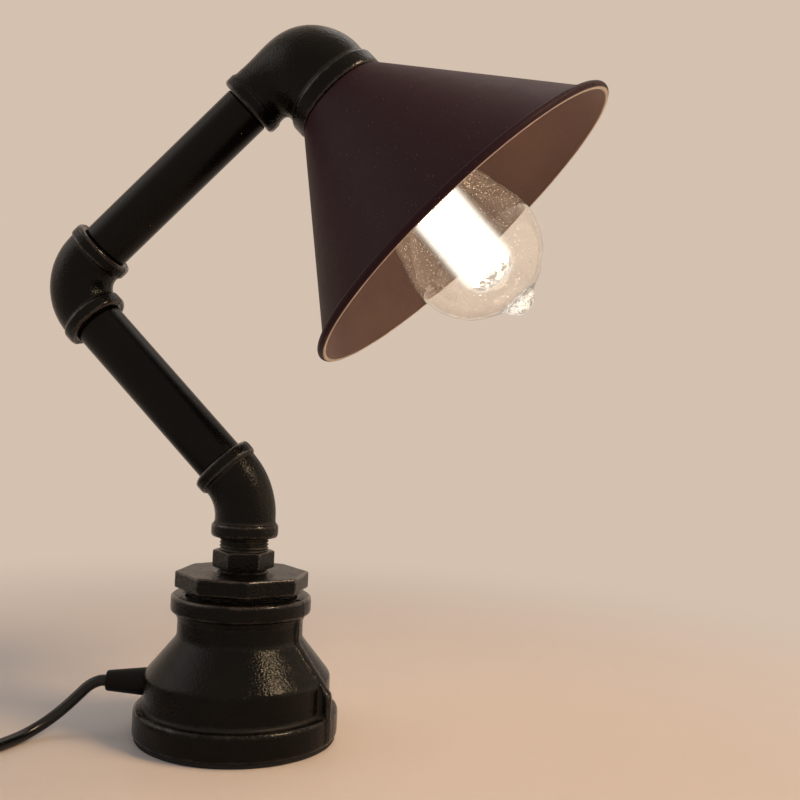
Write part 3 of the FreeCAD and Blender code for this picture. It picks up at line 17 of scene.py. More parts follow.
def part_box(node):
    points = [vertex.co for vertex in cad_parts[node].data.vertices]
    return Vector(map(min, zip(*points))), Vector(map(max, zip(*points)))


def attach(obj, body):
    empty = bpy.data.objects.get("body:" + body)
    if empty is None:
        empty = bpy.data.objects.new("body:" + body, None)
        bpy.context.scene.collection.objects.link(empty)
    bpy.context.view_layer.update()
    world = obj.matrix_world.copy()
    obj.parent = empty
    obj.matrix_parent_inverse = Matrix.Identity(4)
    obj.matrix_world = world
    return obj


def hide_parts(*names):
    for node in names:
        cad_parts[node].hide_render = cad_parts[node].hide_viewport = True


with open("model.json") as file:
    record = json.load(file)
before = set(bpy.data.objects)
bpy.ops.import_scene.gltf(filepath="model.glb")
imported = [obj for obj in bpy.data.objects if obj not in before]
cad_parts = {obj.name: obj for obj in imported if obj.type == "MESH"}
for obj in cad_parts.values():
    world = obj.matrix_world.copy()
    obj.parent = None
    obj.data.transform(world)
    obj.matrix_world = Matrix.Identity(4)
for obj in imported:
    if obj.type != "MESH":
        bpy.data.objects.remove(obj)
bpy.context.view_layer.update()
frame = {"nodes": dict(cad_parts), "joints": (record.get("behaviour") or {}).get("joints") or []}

bl_info = {
    "name": "Pipe Table Lamp",
    "version": (1, 0, 0),
    "blender": (4, 5, 0),
    "location": "3D View > Sidebar > Pipe Lamp",
    "description": "Castings, threads, flex, bulb and finishes of a lamp made of pipe fittings",
    "category": "Object",
}

MM = 0.001
UP = Vector((0, 0, 1))
ORIGIN = Vector((0, 0, 0))


def level(degrees):
    """Direction along the table, turned from X."""
    return Vector((math.cos(math.radians(degrees)), math.sin(math.radians(degrees)), 0))


# --- places taken from the frame ---
JOINTS = {joint["name"]: joint for joint in frame["joints"]}
LOWER_AXIS = Vector(JOINTS["elbow_swivel"]["axis"]).normalized()
UPPER_AXIS = Vector(JOINTS["head_swivel"]["axis"]).normalized()
HEAD_AXIS = Vector(JOINTS["bulb_unscrew"]["axis"]).normalized()
MID_CORNER = Vector(JOINTS["elbow_swivel"]["pos_m"])
HEAD_CORNER = Vector(JOINTS["head_swivel"]["pos_m"])
LOW_ELBOW_FACE = JOINTS["arm_swivel"]["pos_m"][2]
BUSH_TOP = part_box("reducing_bush")[1].z

# --- hexagon nipple ---
HEX_BOTTOM = BUSH_TOP + 1.9 * MM
HEX_TOP = LOW_ELBOW_FACE - 7.1 * MM
THREAD_RADIUS = 13.0 * MM

# --- shade, measured along the head axis from the head corner ---
SHADE_TOP = 34.05 * MM
SHADE_TOP_RADIUS = 27.6 * MM
SHADE_SPREAD = 0.7326    # growth of the radius for each length along the axis
SHADE_HALF_WALL = 0.62 * MM
SHADE_RIM = 131.5 * MM   # where the rolled rim ends

# --- bulb, measured along the head axis from the head corner ---
BULB_CAP_RADIUS = 13.0 * MM
BULB_CAP_BACK = 28.6 * MM
BULB_CAP_LENGTH = 21.5 * MM
BULB_CAP_FRONT = BULB_CAP_BACK + BULB_CAP_LENGTH
BULB_SKEW = math.radians(2.3)
CAGE_RADIUS = 12.6 * MM
CAGE_TOP = 88.0 * MM
CAGE_END = 157.0 * MM
CAGE_DOME = 9.0 * MM     # length over which the strands draw in at the end
CAGE_END_RADIUS = 10.2 * MM
STEM_END = CAGE_END + 1.0 * MM
BULB_COLLAR_RADIUS = 11.4 * MM
BULB_NECK_RADIUS = 15.0 * MM
BULB_RADIUS = 36.5 * MM
BULB_CENTRE = 141.4 * MM
BULB_FLARE = math.radians(14.5)
TIP_RADIUS = 10.0 * MM
TIP_RISE = 5.9 * MM      # how far the sealed tip stands out of the round part
TIP_HOLLOW = 6.0 * MM
TIP_LEAN = 1.5 * MM      # the sealed tip was pulled a little to one side
TIP_FOLDS = 1.1 * MM     # unevenness of the glass where it was sealed
GLASS_WALL = 0.9 * MM
GLASS_SEAT = HEAD_CORNER + HEAD_AXIS * BULB_CAP_FRONT
GLASS_AXIS = HEAD_AXIS * math.cos(BULB_SKEW) - UPPER_AXIS * math.sin(BULB_SKEW)
GLASS_TIP = GLASS_SEAT + GLASS_AXIS * (BULB_CENTRE + BULB_RADIUS - BULB_CAP_FRONT)
CAGE_TIP = GLASS_SEAT + GLASS_AXIS * (CAGE_END - BULB_CAP_FRONT)
FOLD_SEED = 5
FOLD_SIZE = 4.5 * MM
FOLD_REACH = 11.0 * MM   # how far round the tip the glass is uneven
LEAN_START = 26.0 * MM   # where the lean begins, from the middle of the ball
LEAN_LENGTH = 10.0 * MM
GLASS_SIDES = 128

# --- bulb cap, supports and glare ---
CAP_SIDES = 96
CAP_STEPS = 64
CAP_WALL = 0.45 * MM
CAP_RIM = 1.6 * MM       # from the back of the cap to its full width
CAP_SHOULDER = (         # points of the rounded back: inwards and forwards
    (4.9 * MM, -0.4 * MM), (1.9 * MM, 0.0), (1.0 * MM, 0.7 * MM),
)
HOOK_RADIUS = 0.85 * MM
SUPPORT_RADIUS = 0.26 * MM
SUPPORTS = {
    # supports: replaced nodes, height of the hub on the stem, reach and rise of the arms
    "end_supports": (("support_wires",), STEM_END - 1.6 * MM, CAGE_END_RADIUS - 0.2 * MM, 1.4 * MM),
    "start_supports": ((), CAGE_TOP + 3.0 * MM, CAGE_RADIUS, -2.4 * MM),
}
HALO_SIDES = 48
HALO_SLEEVES = (
    # how far a sleeve stands out of the cage, and its brightness
    (0.6 * MM, 0.30), (1.3 * MM, 0.22), (2.0 * MM, 0.17),
    (2.8 * MM, 0.12), (3.7 * MM, 0.07), (4.8 * MM, 0.03),
)

# --- mains flex ---
CORD_DIRECTION = level(191.2)
GRIP_MOUTH = UP * 27.0 * MM + CORD_DIRECTION * 69.3 * MM
SWITCH_DIRECTION = level(187.0)
SWITCH_INLET = Vector((-134.0, -90.0, 8.0)) * MM
SWITCH_OUTLET = SWITCH_INLET + SWITCH_DIRECTION * 62.0 * MM
COIL_CENTRE = Vector((-236.0, -56.0, 0.0)) * MM
PLUG_POINT = Vector((-270.0, 6.0, 8.0)) * MM
PLUG_DIRECTION = level(76.0)
TABLE_POINTS = (    # from the boot down to the table and along it, in millimetres
    (-76.8, -15.6, 24.4), (-81.2, -18.4, 19.4), (-86.8, -23.0, 13.2), (-93.2, -29.4, 7.3),
    (-99.6, -40.2, 3.3), (-104.2, -55.0, 3.0), (-109.0, -70.0, 3.0), (-118.5, -82.4, 4.4),
)
# in millimetres from the middle of the coil
TO_COIL = ((27.0, -46.0, 5.8), (14.0, -46.0, 3.2), (1.0, -45.4, 3.0))
FROM_COIL = ((-45.4, 0.0, 9.0), (-45.4, 15.0, 9.0), (-43.2, 30.0, 9.0), (-38.4, 46.0, 8.0))
LINE_PIN_REACH = 50.0 * MM   # the line pins stand nearer to the cord than this, the earth pin further off
SLEEVE_TOP = 30.4 * MM   # height up to which the line pins are sleeved

# --- viewpoint ---
CAMERA_PLACE = Vector((146.67, -521.36, 177.92)) * MM
CAMERA_YAW = math.radians(7.181)
CAMERA_PITCH = math.radians(0.577)
CAMERA_ROLL = math.radians(2.585)
CAMERA_SENSOR = 36.0
CAMERA_LENS = 44.676

# --- stage ---
FLOOR_REACH = 3.0
FLOOR_FADE = (0.20, 0.66)    # distances from the lamp between which the floor runs into the background
LAMP_TARGET = Vector((0.0, 0.0, 0.18))
LAMPS = {
    # lamp: place, width, share of the power, colour
    "key_lamp": ((0.93, -0.17, 1.06), 0.34, 1.00, (1.0, 0.72, 0.44)),
    "side_lamp": ((0.95, 0.15, 0.25), 1.10, 0.18, (1.0, 0.76, 0.52)),
    "fill_lamp": ((-1.30, -0.25, 0.95), 1.20, 0.27, (1.0, 1.0, 1.0)),
    "back_lamp": ((0.30, 0.90, 1.60), 0.90, 0.20, (1.0, 1.0, 1.0)),
}

# --- castings ---
BASE_SEAM = level(77.0)
ARM_SEAM = Vector((0, 1, 0))
CAST_WAVE = (0.24 * MM, 13.0 * MM)      # height and size of the slow waves
NIPPLE_WAVE = (0.10 * MM, 9.0 * MM)
NIPPLE_SEED = 9
CASTINGS = {
    # piece: node, body, mesh size and sand grain against the settings, smoothing steps, seam normal
    "base_casting": ("base_reducer", "base", 1.15, 1.0, 7, BASE_SEAM),
    "bush_casting": ("reducing_bush", "base", 0.95, 1.8, 4, None),
    "low_elbow_casting": ("low_elbow", "lower_arm", 0.85, 1.0, 6, ARM_SEAM),
    "mid_elbow_casting": ("mid_elbow", "upper_arm", 0.85, 1.0, 6, ARM_SEAM),
    "head_elbow_casting": ("head_elbow", "head", 1.0, 1.0, 6, ARM_SEAM),
}
MERGE_DISTANCE = 1e-6
EDGE_GAIN = 4.0 * MM     # about the radius of a bend that counts as a full edge
EDGE_ROUNDS = 3          # how often the edge values are evened out

# --- plain finishes ---
MOULDED = {
    # finish: colour, roughness, width and depth of the mould texture, specular level
    "phenolic": ((0.0110, 0.0085, 0.0075), 0.24, 1.10 * MM, 0.03 * MM, 0.50),
    "cap_glass_black": ((0.0100, 0.0090, 0.0120), 0.12, 0.80 * MM, 0.04 * MM, 0.50),
    "foot_rubber": ((0.0080, 0.0080, 0.0080), 0.72, 0.60 * MM, 0.08 * MM, 0.30),
    "boot_rubber": ((0.0022, 0.0020, 0.0017), 0.44, 0.50 * MM, 0.05 * MM, 0.13),
    "inner_sheath": ((0.0160, 0.0150, 0.0150), 0.40, 0.80 * MM, 0.04 * MM, 0.50),
    "terminal_strip": ((0.6200, 0.6000, 0.5500), 0.42, 0.80 * MM, 0.04 * MM, 0.50),
    "moulded_black": ((0.0100, 0.0100, 0.0105), 0.36, 0.55 * MM, 0.05 * MM, 0.50),
    "rocker_black": ((0.0080, 0.0080, 0.0085), 0.22, 1.20 * MM, 0.02 * MM, 0.50),
    "fuse_lid_grey": ((0.0300, 0.0300, 0.0320), 0.34, 0.80 * MM, 0.04 * MM, 0.50),
}
METALS = {
    # finish: colour, roughness
    "contact_brass": ((0.70, 0.50, 0.24), 0.28),
    "nickel_wire": ((0.50, 0.47, 0.43), 0.30),
    "cap_plating": ((0.62, 0.60, 0.55), 0.24),
    "cap_solder": ((0.52, 0.51, 0.49), 0.34),
    "terminal_brass": ((0.68, 0.49, 0.23), 0.30),
    "screw_zinc": ((0.56, 0.56, 0.54), 0.32),
}
GLASS_DUST = (0.86, 0.80, 0.74)


# --- settings ---
def colour_setting(name, description, default):
    return FloatVectorProperty(name=name, description=description, default=default, size=3,
                               subtype="COLOR", min=0.0, max=1.0)


def length_setting(name, description, default):
    return FloatProperty(name=name, description=description, default=default, min=0.0,
                         subtype="DISTANCE", unit="LENGTH", precision=5)


def number_setting(name, description, default, least=0.0):
    return FloatProperty(name=name, description=description, default=default, min=least)


def count_setting(name, description, default, least):
    return IntProperty(name=name, description=description, default=default, min=least)


class IronSettings(bpy.types.PropertyGroup):
    paint: colour_setting("Paint", "Black paint of the castings", (0.0023, 0.0018, 0.0012))
    rubbed: colour_setting("Rubbed paint", "Paint where edges are rubbed", (0.0300, 0.0195, 0.0135))
    grain: length_setting("Grain", "Mesh size of the cast surfaces", 0.70 * MM)
    pimple_height: length_setting("Pimple height", "Height of the sand grain on the castings", 0.13 * MM)
    pimple_size: length_setting("Pimple size", "Width of the sand grain on the castings", 1.8 * MM)
    seam_height: length_setting("Seam height", "Height of the parting line", 0.22 * MM)
    seam_width: length_setting("Seam width", "Half width of the parting line", 0.85 * MM)


class ThreadSettings(bpy.types.PropertyGroup):
    pitch: length_setting("Pitch", "Pitch of the pipe thread", 1.814 * MM)
    depth: length_setting("Depth", "Depth of the pipe thread", 1.05 * MM)
    cap_pitch: length_setting("Cap pitch", "Pitch of the rolled thread of the bulb cap", 3.629 * MM)
    cap_depth: length_setting("Cap depth", "Depth of the rolled thread of the bulb cap", 0.85 * MM)


class FlexSettings(bpy.types.PropertyGroup):
    jacket: colour_setting("Jacket", "Colour of the flex", (0.0036, 0.0034, 0.0032))
    diameter: length_setting("Diameter", "Outer diameter of the flex", 6.0 * MM)
    outer_turn: length_setting("Outer turn", "Radius of the coil's outer turn", 45.4 * MM)
    inner_turn: length_setting("Inner turn", "Radius of the coil's inner turn", 23.4 * MM)
    layer_turns: number_setting("Turns in a layer", "Turns of each of the two layers", 3.625, 1.0)
    turn_points: count_setting("Points in a turn", "Points of the flex in each turn", 16, 12)


class ShadeSettings(bpy.types.PropertyGroup):
    outside: colour_setting("Outside", "Satin paint on the outside", (0.0270, 0.0082, 0.0115))
    # The inside is the same dark paint as the outside; its lighter colour is painted light, for the bulb
    # lighting it from close by.
    inside: colour_setting("Inside", "Thinner paint on the inside", (0.0770, 0.0450, 0.0370))


class BulbSettings(bpy.types.PropertyGroup):
    strands: count_setting("Strands", "Upright strands of the filament cage", 24, 4)
    strand_radius: length_setting("Strand radius", "Radius of the filament", 0.50 * MM)
    glow: colour_setting("Glow", "Colour of the lit filament", (1.0, 0.800, 0.560))
    strength: number_setting("Strength", "Strength of the lit filament", 150.0)
    halo_strength: number_setting("Halo", "Strength of the light round the filament", 1.7)


class StageSettings(bpy.types.PropertyGroup):
    floor: colour_setting("Floor", "Pale floor and background", (0.660, 0.535, 0.435))
    room_light: number_setting("Room light", "Even light from all sides", 0.35)
    lamp_power: number_setting("Lamp power", "Power of the main soft lamp in watts", 10.5)


SETTINGS = {
    "lamp_iron": IronSettings, "lamp_thread": ThreadSettings, "lamp_flex": FlexSettings,
    "lamp_shade": ShadeSettings, "lamp_bulb": BulbSettings, "lamp_stage": StageSettings,
}


# --- node trees ---
class Wire:
    """One output of a node, so that maths on its value reads as Python."""

    def __init__(self, tree, socket):
        self.tree = tree
        self.socket = socket

    def also(self, output):
        """Another output of the same node."""
        return Wire(self.tree, self.socket.node.outputs[output])

    def maths(self, operation, *values):
        return self.tree.node("ShaderNodeMath", {"operation": operation}, dict(enumerate(values)))

    def __add__(self, other):
        return self.maths("ADD", self, other)

    def __radd__(self, other):
        return self.maths("ADD", other, self)

    def __sub__(self, other):
        return self.maths("SUBTRACT", self, other)

    def __rsub__(self, other):
        return self.maths("SUBTRACT", other, self)

    def __mul__(self, other):
        return self.maths("MULTIPLY", self, other)

    def __rmul__(self, other):
        return self.maths("MULTIPLY", other, self)

    def __truediv__(self, other):
        return self.maths("DIVIDE", self, other)

    def __rtruediv__(self, other):
        return self.maths("DIVIDE", other, self)

    def __mod__(self, other):
        return self.maths("MODULO", self, other)

    def __abs__(self):
        return self.maths("ABSOLUTE", self)

    def root(self):
        return self.maths("SQRT", self)

    def below(self, other):
        return self.maths("LESS_THAN", self, other)

    def most(self, other):
        return self.maths("MAXIMUM", self, other)


class NodeTree:
    """A node tree that is written one node at a time."""

    def __init__(self, group):
        self.group = group

    def node(self, kind, settings=None, inputs=None, output=0):
        """Add a node: its settings first, then the values or links of its sockets."""
        made = self.group.nodes.new(kind)
        for name, value in (settings or {}).items():
            setattr(made, name, value)
        for key, value in (inputs or {}).items():
            self.feed(made.inputs[key], value)
        return Wire(self, made.outputs[output]) if made.outputs else None

    def feed(self, socket, value):
        """Link a wire to a socket, or several to one that takes several, or set its value."""
        if isinstance(value, Wire):
            self.group.links.new(value.socket, socket)
        elif socket.is_multi_input:
            for wire in value:
                self.group.links.new(wire.socket, socket)
        elif socket.type == "RGBA" and len(value) == 3:
            socket.default_value = (*value, 1.0)
        else:
            socket.default_value = value

    def vector_math(self, operation, *vectors, output="Value"):
        return self.node("ShaderNodeVectorMath", {"operation": operation}, dict(enumerate(vectors)), output)

    def blend(self, share, first, second):
        """Mix of two colours."""
        return self.node("ShaderNodeMix", {"data_type": "RGBA"}, {0: share, 6: first, 7: second}, output=2)


class Finish(NodeTree):
    """The procedural material of one kind of surface."""

    def __init__(self, name):
        self.material = bpy.data.materials.new(name)
        self.material.use_nodes = True
        super().__init__(self.material.node_tree)
        self.group.nodes.clear()
        self.place = self.node("ShaderNodeTexCoord", output="Object")

    def noise(self, size, detail=2.0, roughness=0.5, place=None, distortion=0.0):
        """Soft noise from 0 to 1, with features of about this size."""
        return self.node("ShaderNodeTexNoise", {}, {
            "Vector": place or self.place, "Scale": 1.0 / size, "Detail": detail,
            "Roughness": roughness, "Distortion": distortion,
        })

    def cells(self, size):
        """Distance to the nearest of points scattered about this far apart."""
        return self.node("ShaderNodeTexVoronoi", {}, {"Vector": self.place, "Scale": 1.0 / size})

    def offset(self, origin):
        """Vector from a point to each place on the surface."""
        return self.vector_math("SUBTRACT", self.place, origin, output="Vector")

    def along(self, axis, origin):
        """How far along an axis from a point each place lies."""
        return self.vector_math("DOT_PRODUCT", self.offset(origin), axis)

    def distance(self, point):
        return self.vector_math("DISTANCE", self.place, point)

    def turned_place(self, origin, axis, stretch):
        """Coordinates whose Z runs along an axis; stretch draws a pattern out along it."""
        turn = axis.rotation_difference(UP)
        return self.node("ShaderNodeMapping", {"vector_type": "POINT"}, {
            "Vector": self.offset(origin), "Rotation": turn.to_euler(), "Scale": (1.0, 1.0, 1.0 / stretch),
        })

    def ramp(self, value, low, high, start=0.0, end=1.0):
        """Smooth step of a value from low to high."""
        return self.node("ShaderNodeMapRange", {"interpolation_type": "SMOOTHSTEP"}, {
            "Value": value, "From Min": low, "From Max": high, "To Min": start, "To Max": end,
        })

    def fall(self, value, low, high):
        """Smooth step down: 1 up to low, 0 from high."""
        return self.ramp(value, low, high, 1.0, 0.0)

    def shades(self, share, colour, gain, lift=0.0):
        """Mix of a colour and a lighter or darker shade of it."""
        return self.blend(share, colour, [part * gain + lift for part in colour])

    def attribute(self, name):
        return self.node("ShaderNodeAttribute", {"attribute_name": name}, output="Fac")

    def bump(self, height, distance, strength):
        return self.node("ShaderNodeBump", {},
                         {"Height": height, "Distance": distance, "Strength": strength})

    def surface(self, **sockets):
        """The Principled shader, with underscores for the spaces of its socket names."""
        return self.node("ShaderNodeBsdfPrincipled", {},
                         {name.replace("_", " "): value for name, value in sockets.items()})

    def shine(self, colour, strength):
        return self.node("ShaderNodeEmission", {}, {"Color": colour, "Strength": strength})

    def mix(self, share, first, second):
        """Mix of two shaders."""
        return self.node("ShaderNodeMixShader", {}, {0: share, 1: first, 2: second})

    def end(self, shader):
        self.node("ShaderNodeOutputMaterial", {}, {"Surface": shader})
        return self.material

    def paint(self, **sockets):
        """End with a Principled shader alone."""
        return self.end(self.surface(**sockets))


class Growth(NodeTree):
    """A geometry node tree with named inputs."""

    kinds = {float: "NodeSocketFloat", int: "NodeSocketInt", tuple: "NodeSocketVector"}

    def __init__(self, name, sockets):
        super().__init__(bpy.data.node_groups.new(name, "GeometryNodeTree"))
        face = self.group.interface
        face.new_socket("Geometry", in_out="INPUT", socket_type="NodeSocketGeometry")
        for label, default in sockets.items():
            socket = face.new_socket(label, in_out="INPUT", socket_type=self.kinds[type(default)])
            socket.default_value = default
        face.new_socket("Material", in_out="INPUT", socket_type="NodeSocketMaterial")
        face.new_socket("Geometry", in_out="OUTPUT", socket_type="NodeSocketGeometry")
        self.start = self.group.nodes.new("NodeGroupInput")

    def given(self, label):
        return Wire(self, self.start.outputs[label])

    def vector(self, x=0.0, z=0.0):
        """Vector without a Y part."""
        return self.node("ShaderNodeCombineXYZ", {}, {"X": x, "Z": z})

    def arc(self, points, radius, start, sweep):
        return self.node("GeometryNodeCurveArc", {"mode": "RADIUS"}, {
            "Resolution": points, "Radius": radius, "Start Angle": start, "Sweep Angle": sweep,
        })

    def joined(self, *pieces):
        return self.node("GeometryNodeJoinGeometry", {}, {"Geometry": pieces})

    def realized(self, geometry):
        return self.node("GeometryNodeRealizeInstances", {}, {"Geometry": geometry})

    def tube(self, curve, sides, radius):
        """Closed tube along curves."""
        section = self.node("GeometryNodeCurvePrimitiveCircle", {"mode": "RADIUS"},
                            {"Resolution": sides, "Radius": radius})
        return self.node("GeometryNodeCurveToMesh", {},
                         {"Curve": curve, "Profile Curve": section, "Fill Caps": True})

    def end(self, geometry):
        dressed = self.node("GeometryNodeSetMaterial", {},
                            {"Geometry": self.realized(geometry), "Material": self.given("Material")})
        self.node("NodeGroupOutput", {}, {"Geometry": dressed})
        return self.group


# --- making pieces ---
def linked(name, data):
    piece = bpy.data.objects.new(name, data)
    bpy.context.scene.collection.objects.link(piece)
    return piece


def new_piece(name, mesh, body, replaces=(), sharp=60.0):
    """Turn a mesh into a finished piece of the lamp that rides on a body."""
    mesh.shade_smooth()
    mesh.set_sharp_from_angle(angle=math.radians(sharp))
    piece = linked(name, mesh)
    if replaces:
        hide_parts(*replaces)
    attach(piece, body)


def mesh_of(name, vertices, faces, material):
    mesh = bpy.data.meshes.new(name)
    mesh.from_pydata(vertices, [], faces)
    mesh.materials.append(material)
    mesh.validate()
    return mesh


def stand(origin, axis):
    """Matrix that puts a shape made about Z on an axis."""
    return Matrix.Translation(origin) @ UP.rotation_difference(axis).to_matrix().to_4x4()


def grown(name, seed, tree, values, modifiers=()):
    """Run a geometry node tree once and keep what it makes as a plain mesh."""
    holder = linked(name + "_seed", seed)
    for kind, settings in modifiers:
        modifier = holder.modifiers.new(kind.title(), kind)
        for key, value in settings.items():
            setattr(modifier, key, value)
    growth = holder.modifiers.new("Growth", "NODES")
    growth.node_group = tree
    for item in tree.interface.items_tree:
        if item.in_out == "INPUT" and item.name in values:
            growth[item.identifier] = values[item.name]
    bpy.context.view_layer.update()
    result = holder.evaluated_get(bpy.context.evaluated_depsgraph_get())
    mesh = bpy.data.meshes.new_from_object(result)
    mesh.name = name
    bpy.data.objects.remove(holder)
    return mesh


def merged_copy(node):
    """A joined-up copy of a CAD node's mesh, to make a piece that replaces it."""
    mesh = frame["nodes"][node].data.copy()
    shell = bmesh.new()
    shell.from_mesh(mesh)
    bmesh.ops.remove_doubles(shell, verts=shell.verts, dist=MERGE_DISTANCE)
    shell.to_mesh(mesh)
    shell.free()
    mesh.materials.clear()
    return mesh


def points_of(mesh):
    places = np.zeros(len(mesh.vertices) * 3, np.float32)
    mesh.vertices.foreach_get("co", places)
    return places.reshape(-1, 3)


def mark_edges(mesh):
    """Store how sharply the surface bends outwards at each point, from -1 to 1."""
    places = points_of(mesh).astype(np.float64)
    normals = np.zeros(len(mesh.vertices) * 3, np.float32)
    mesh.vertex_normals.foreach_get("vector", normals)
    pairs = np.zeros(len(mesh.edges) * 2, np.int32)
    mesh.edges.foreach_get("vertices", pairs)
    first, second = pairs.reshape(-1, 2).T
    degree = np.maximum(np.bincount(np.concatenate([first, second]), minlength=len(places)), 1)

    def around(values):
        total = np.zeros_like(values)
        np.add.at(total, first, values[second])
        np.add.at(total, second, values[first])
        return total / degree.reshape([-1] + [1] * (values.ndim - 1))

    step = np.linalg.norm(places[first] - places[second], axis=1).mean()
    lift = ((places - around(places)) * normals.reshape(-1, 3)).sum(1)
    bend = np.clip(lift / step ** 2 * EDGE_GAIN, -1.0, 1.0)
    for _ in range(EDGE_ROUNDS):
        bend = 0.5 * bend + 0.5 * around(bend)
    mesh.attributes.new("edge", "FLOAT", "POINT").data.foreach_set("value", bend.astype(np.float32))


def dress(finish, *nodes):
    """Give CAD nodes that stay as they are a finish of their own."""
    for name in nodes:
        slots = frame["nodes"][name].data.materials
        slots.clear()
        slots.append(finish)


# --- finishes ---
def cast_iron_finish(name="cast_iron_paint", bare=0.0, depth=0.28 * MM):
    """Black paint over sand-cast iron, rubbed brown and polished on the edges."""
    settings = bpy.context.scene.lamp_iron
    f = Finish(name)
    broad = f.noise(22.0 * MM, 3.0, 0.55)
    cloud = f.noise(6.5 * MM, 3.0)
    grain = f.noise(1.1 * MM, 1.0, 0.4)
    fine = f.noise(0.55 * MM, 1.0)
    pits = f.ramp(f.cells(3.0 * MM), 0.02, 0.16)
    edge = f.attribute("edge")
    rub = f.ramp(edge + (grain - 0.5) * 0.9 + (cloud - 0.5) * 0.5, 0.30, 0.62)
    hollow = f.ramp(0.0 - edge + (cloud - 0.5) * 0.25, 0.06, 0.34)
    paint = f.shades(f.ramp(broad, 0.35, 0.7), settings.paint, 1.7)
    rubbed = f.blend(rub * 0.75, paint, settings.rubbed)
    dusty = f.blend(hollow * 0.35, rubbed, (0.030, 0.026, 0.022))
    chips = f.ramp(f.noise(3.4 * MM, 3.0, 0.7), 0.72, 0.78) * f.ramp(edge, 0.10, 0.4)
    height = grain + fine * 0.04 + pits * 0.30 + cloud * 0.35
    return f.paint(
        Base_Color=f.blend(chips * (0.25 + bare), dusty, (0.105, 0.078, 0.060)),
        Roughness=0.13 + broad * 0.08 + (1.0 - pits) * 0.12 + hollow * 0.16 - rub * 0.03 + cloud * 0.08,
        Specular_IOR_Level=0.125,
        Coat_Weight=f.ramp(edge + (cloud - 0.5) * 0.5, 0.22, 0.55) * 0.55,
        Coat_Roughness=0.10,
        Normal=f.bump(height, depth, 0.9),
    )


def pipe_finish(name, origin, axis):
    """Drawn steel pipe in black paint, with faint streaks along it."""
    settings = bpy.context.scene.lamp_iron
    f = Finish(name)
    drawn = f.turned_place(origin, axis, 16.0)
    streaks = f.noise(1.2 * MM, 3.0, 0.6, drawn)
    broad = f.noise(20.0 * MM, 3.0)
    cloud = f.noise(4.8 * MM, 3.0)
    grain = f.noise(1.2 * MM, 1.0)
    scuffs = f.ramp(f.noise(5.5 * MM, 4.0, 0.75, drawn, 0.4), 0.66, 0.74)
    paint = f.shades(f.ramp(broad, 0.3, 0.75), settings.paint, 1.5)
    return f.paint(
        Base_Color=f.blend(scuffs * 0.30, paint, settings.rubbed),
        Roughness=0.18 + streaks * 0.10 + cloud * 0.10 + scuffs * 0.10,
        Specular_IOR_Level=0.125,
        Normal=f.bump(streaks * 0.30 + cloud * 0.45 + grain * 0.50, 0.14 * MM, 0.75),
    )


def thread_finish():
    """Cut thread with its dark paint rubbed through to dull metal in places."""
    f = Finish("cut_thread")
    wear = f.noise(3.0 * MM, 4.0, 0.65)
    broad = f.noise(9.0 * MM)
    grain = f.noise(0.35 * MM, 2.0, 0.6)
    bare = f.ramp(wear + (broad - 0.5) * 0.8, 0.50, 0.72)
    return f.paint(
        Base_Color=f.blend(bare * 0.8, (0.0150, 0.0130, 0.0110), (0.150, 0.122, 0.066)),
        Metallic=bare * 0.7,
        Roughness=0.36 + wear * 0.2,
        Normal=f.bump(grain + wear * 1.5, 0.08 * MM, 0.7),
    )


def shade_finish():
    """Satin powder coat on spun steel, lighter inside as painted light from the bulb, with a thin bright
    line along the rim as a painted highlight.
    """
    settings = bpy.context.scene.lamp_shade
    f = Finish("satin_shade_paint")
    speck = f.noise(0.48 * MM, 2.0, 0.55)
    orange_peel = f.noise(1.7 * MM, 3.0)
    broad = f.noise(45.0 * MM, 3.0)
    smudge = f.noise(13.0 * MM, 4.0, 0.6, distortion=0.6)
    dust = f.ramp(f.noise(1.0 * MM, 1.0), 0.735, 0.76)
    along = f.along(HEAD_AXIS, HEAD_CORNER)
    away = f.distance(HEAD_CORNER)
    off_axis = (away * away - along * along).root()
    mid_wall = SHADE_TOP_RADIUS + (along - SHADE_TOP) * SHADE_SPREAD - SHADE_HALF_WALL
    # Inside the wall the paint turns to the lighter inside colour: painted light from the bulb on the same
    # dark paint.
    inward = f.ramp(mid_wall - off_axis, -0.1 * MM, 0.1 * MM)
    paint = f.blend(inward, settings.outside, settings.inside)
    paint = f.blend(f.ramp(broad, 0.3, 0.7) * 0.20, paint, (0.022, 0.014, 0.014))
    dusted = f.blend(dust * 0.5, paint, (0.17, 0.15, 0.14))
    # Painted highlight: a thin warm cream line where the rolled rim ends, standing for the bulb's light
    # caught on it.
    wear_and_painted_rim_highlight = f.ramp(along, SHADE_RIM - 0.30 * MM, SHADE_RIM - 0.05 * MM) * (0.30 + smudge * 0.5)
    return f.paint(
        Base_Color=f.blend(wear_and_painted_rim_highlight, dusted, (0.90, 0.70, 0.52)),
        Roughness=0.44 + smudge * 0.12 + speck * 0.06 + dust * 0.2,
        Specular_IOR_Level=0.09,
        Normal=f.bump(speck * 0.6 + orange_peel * 0.8, 0.06 * MM, 0.8),
    )


def moulded_finish(name):
    """Moulded plastic or rubber with a fine mould texture and a few smears."""
    colour, roughness, width, depth, specular = MOULDED[name]
    f = Finish(name)
    mould = f.noise(width, 2.0, 0.55)
    broad = f.noise(12.0 * MM, 3.0)
    smear = f.noise(6.0 * MM, 4.0, 0.65, distortion=0.8)
    return f.paint(
        Base_Color=f.shades(f.ramp(broad, 0.3, 0.7), colour, 1.25, 0.001),
        Roughness=(roughness - 0.06) + smear * 0.16 + mould * 0.05,
        Specular_IOR_Level=specular,
        Normal=f.bump(mould, depth, 0.8),
    )


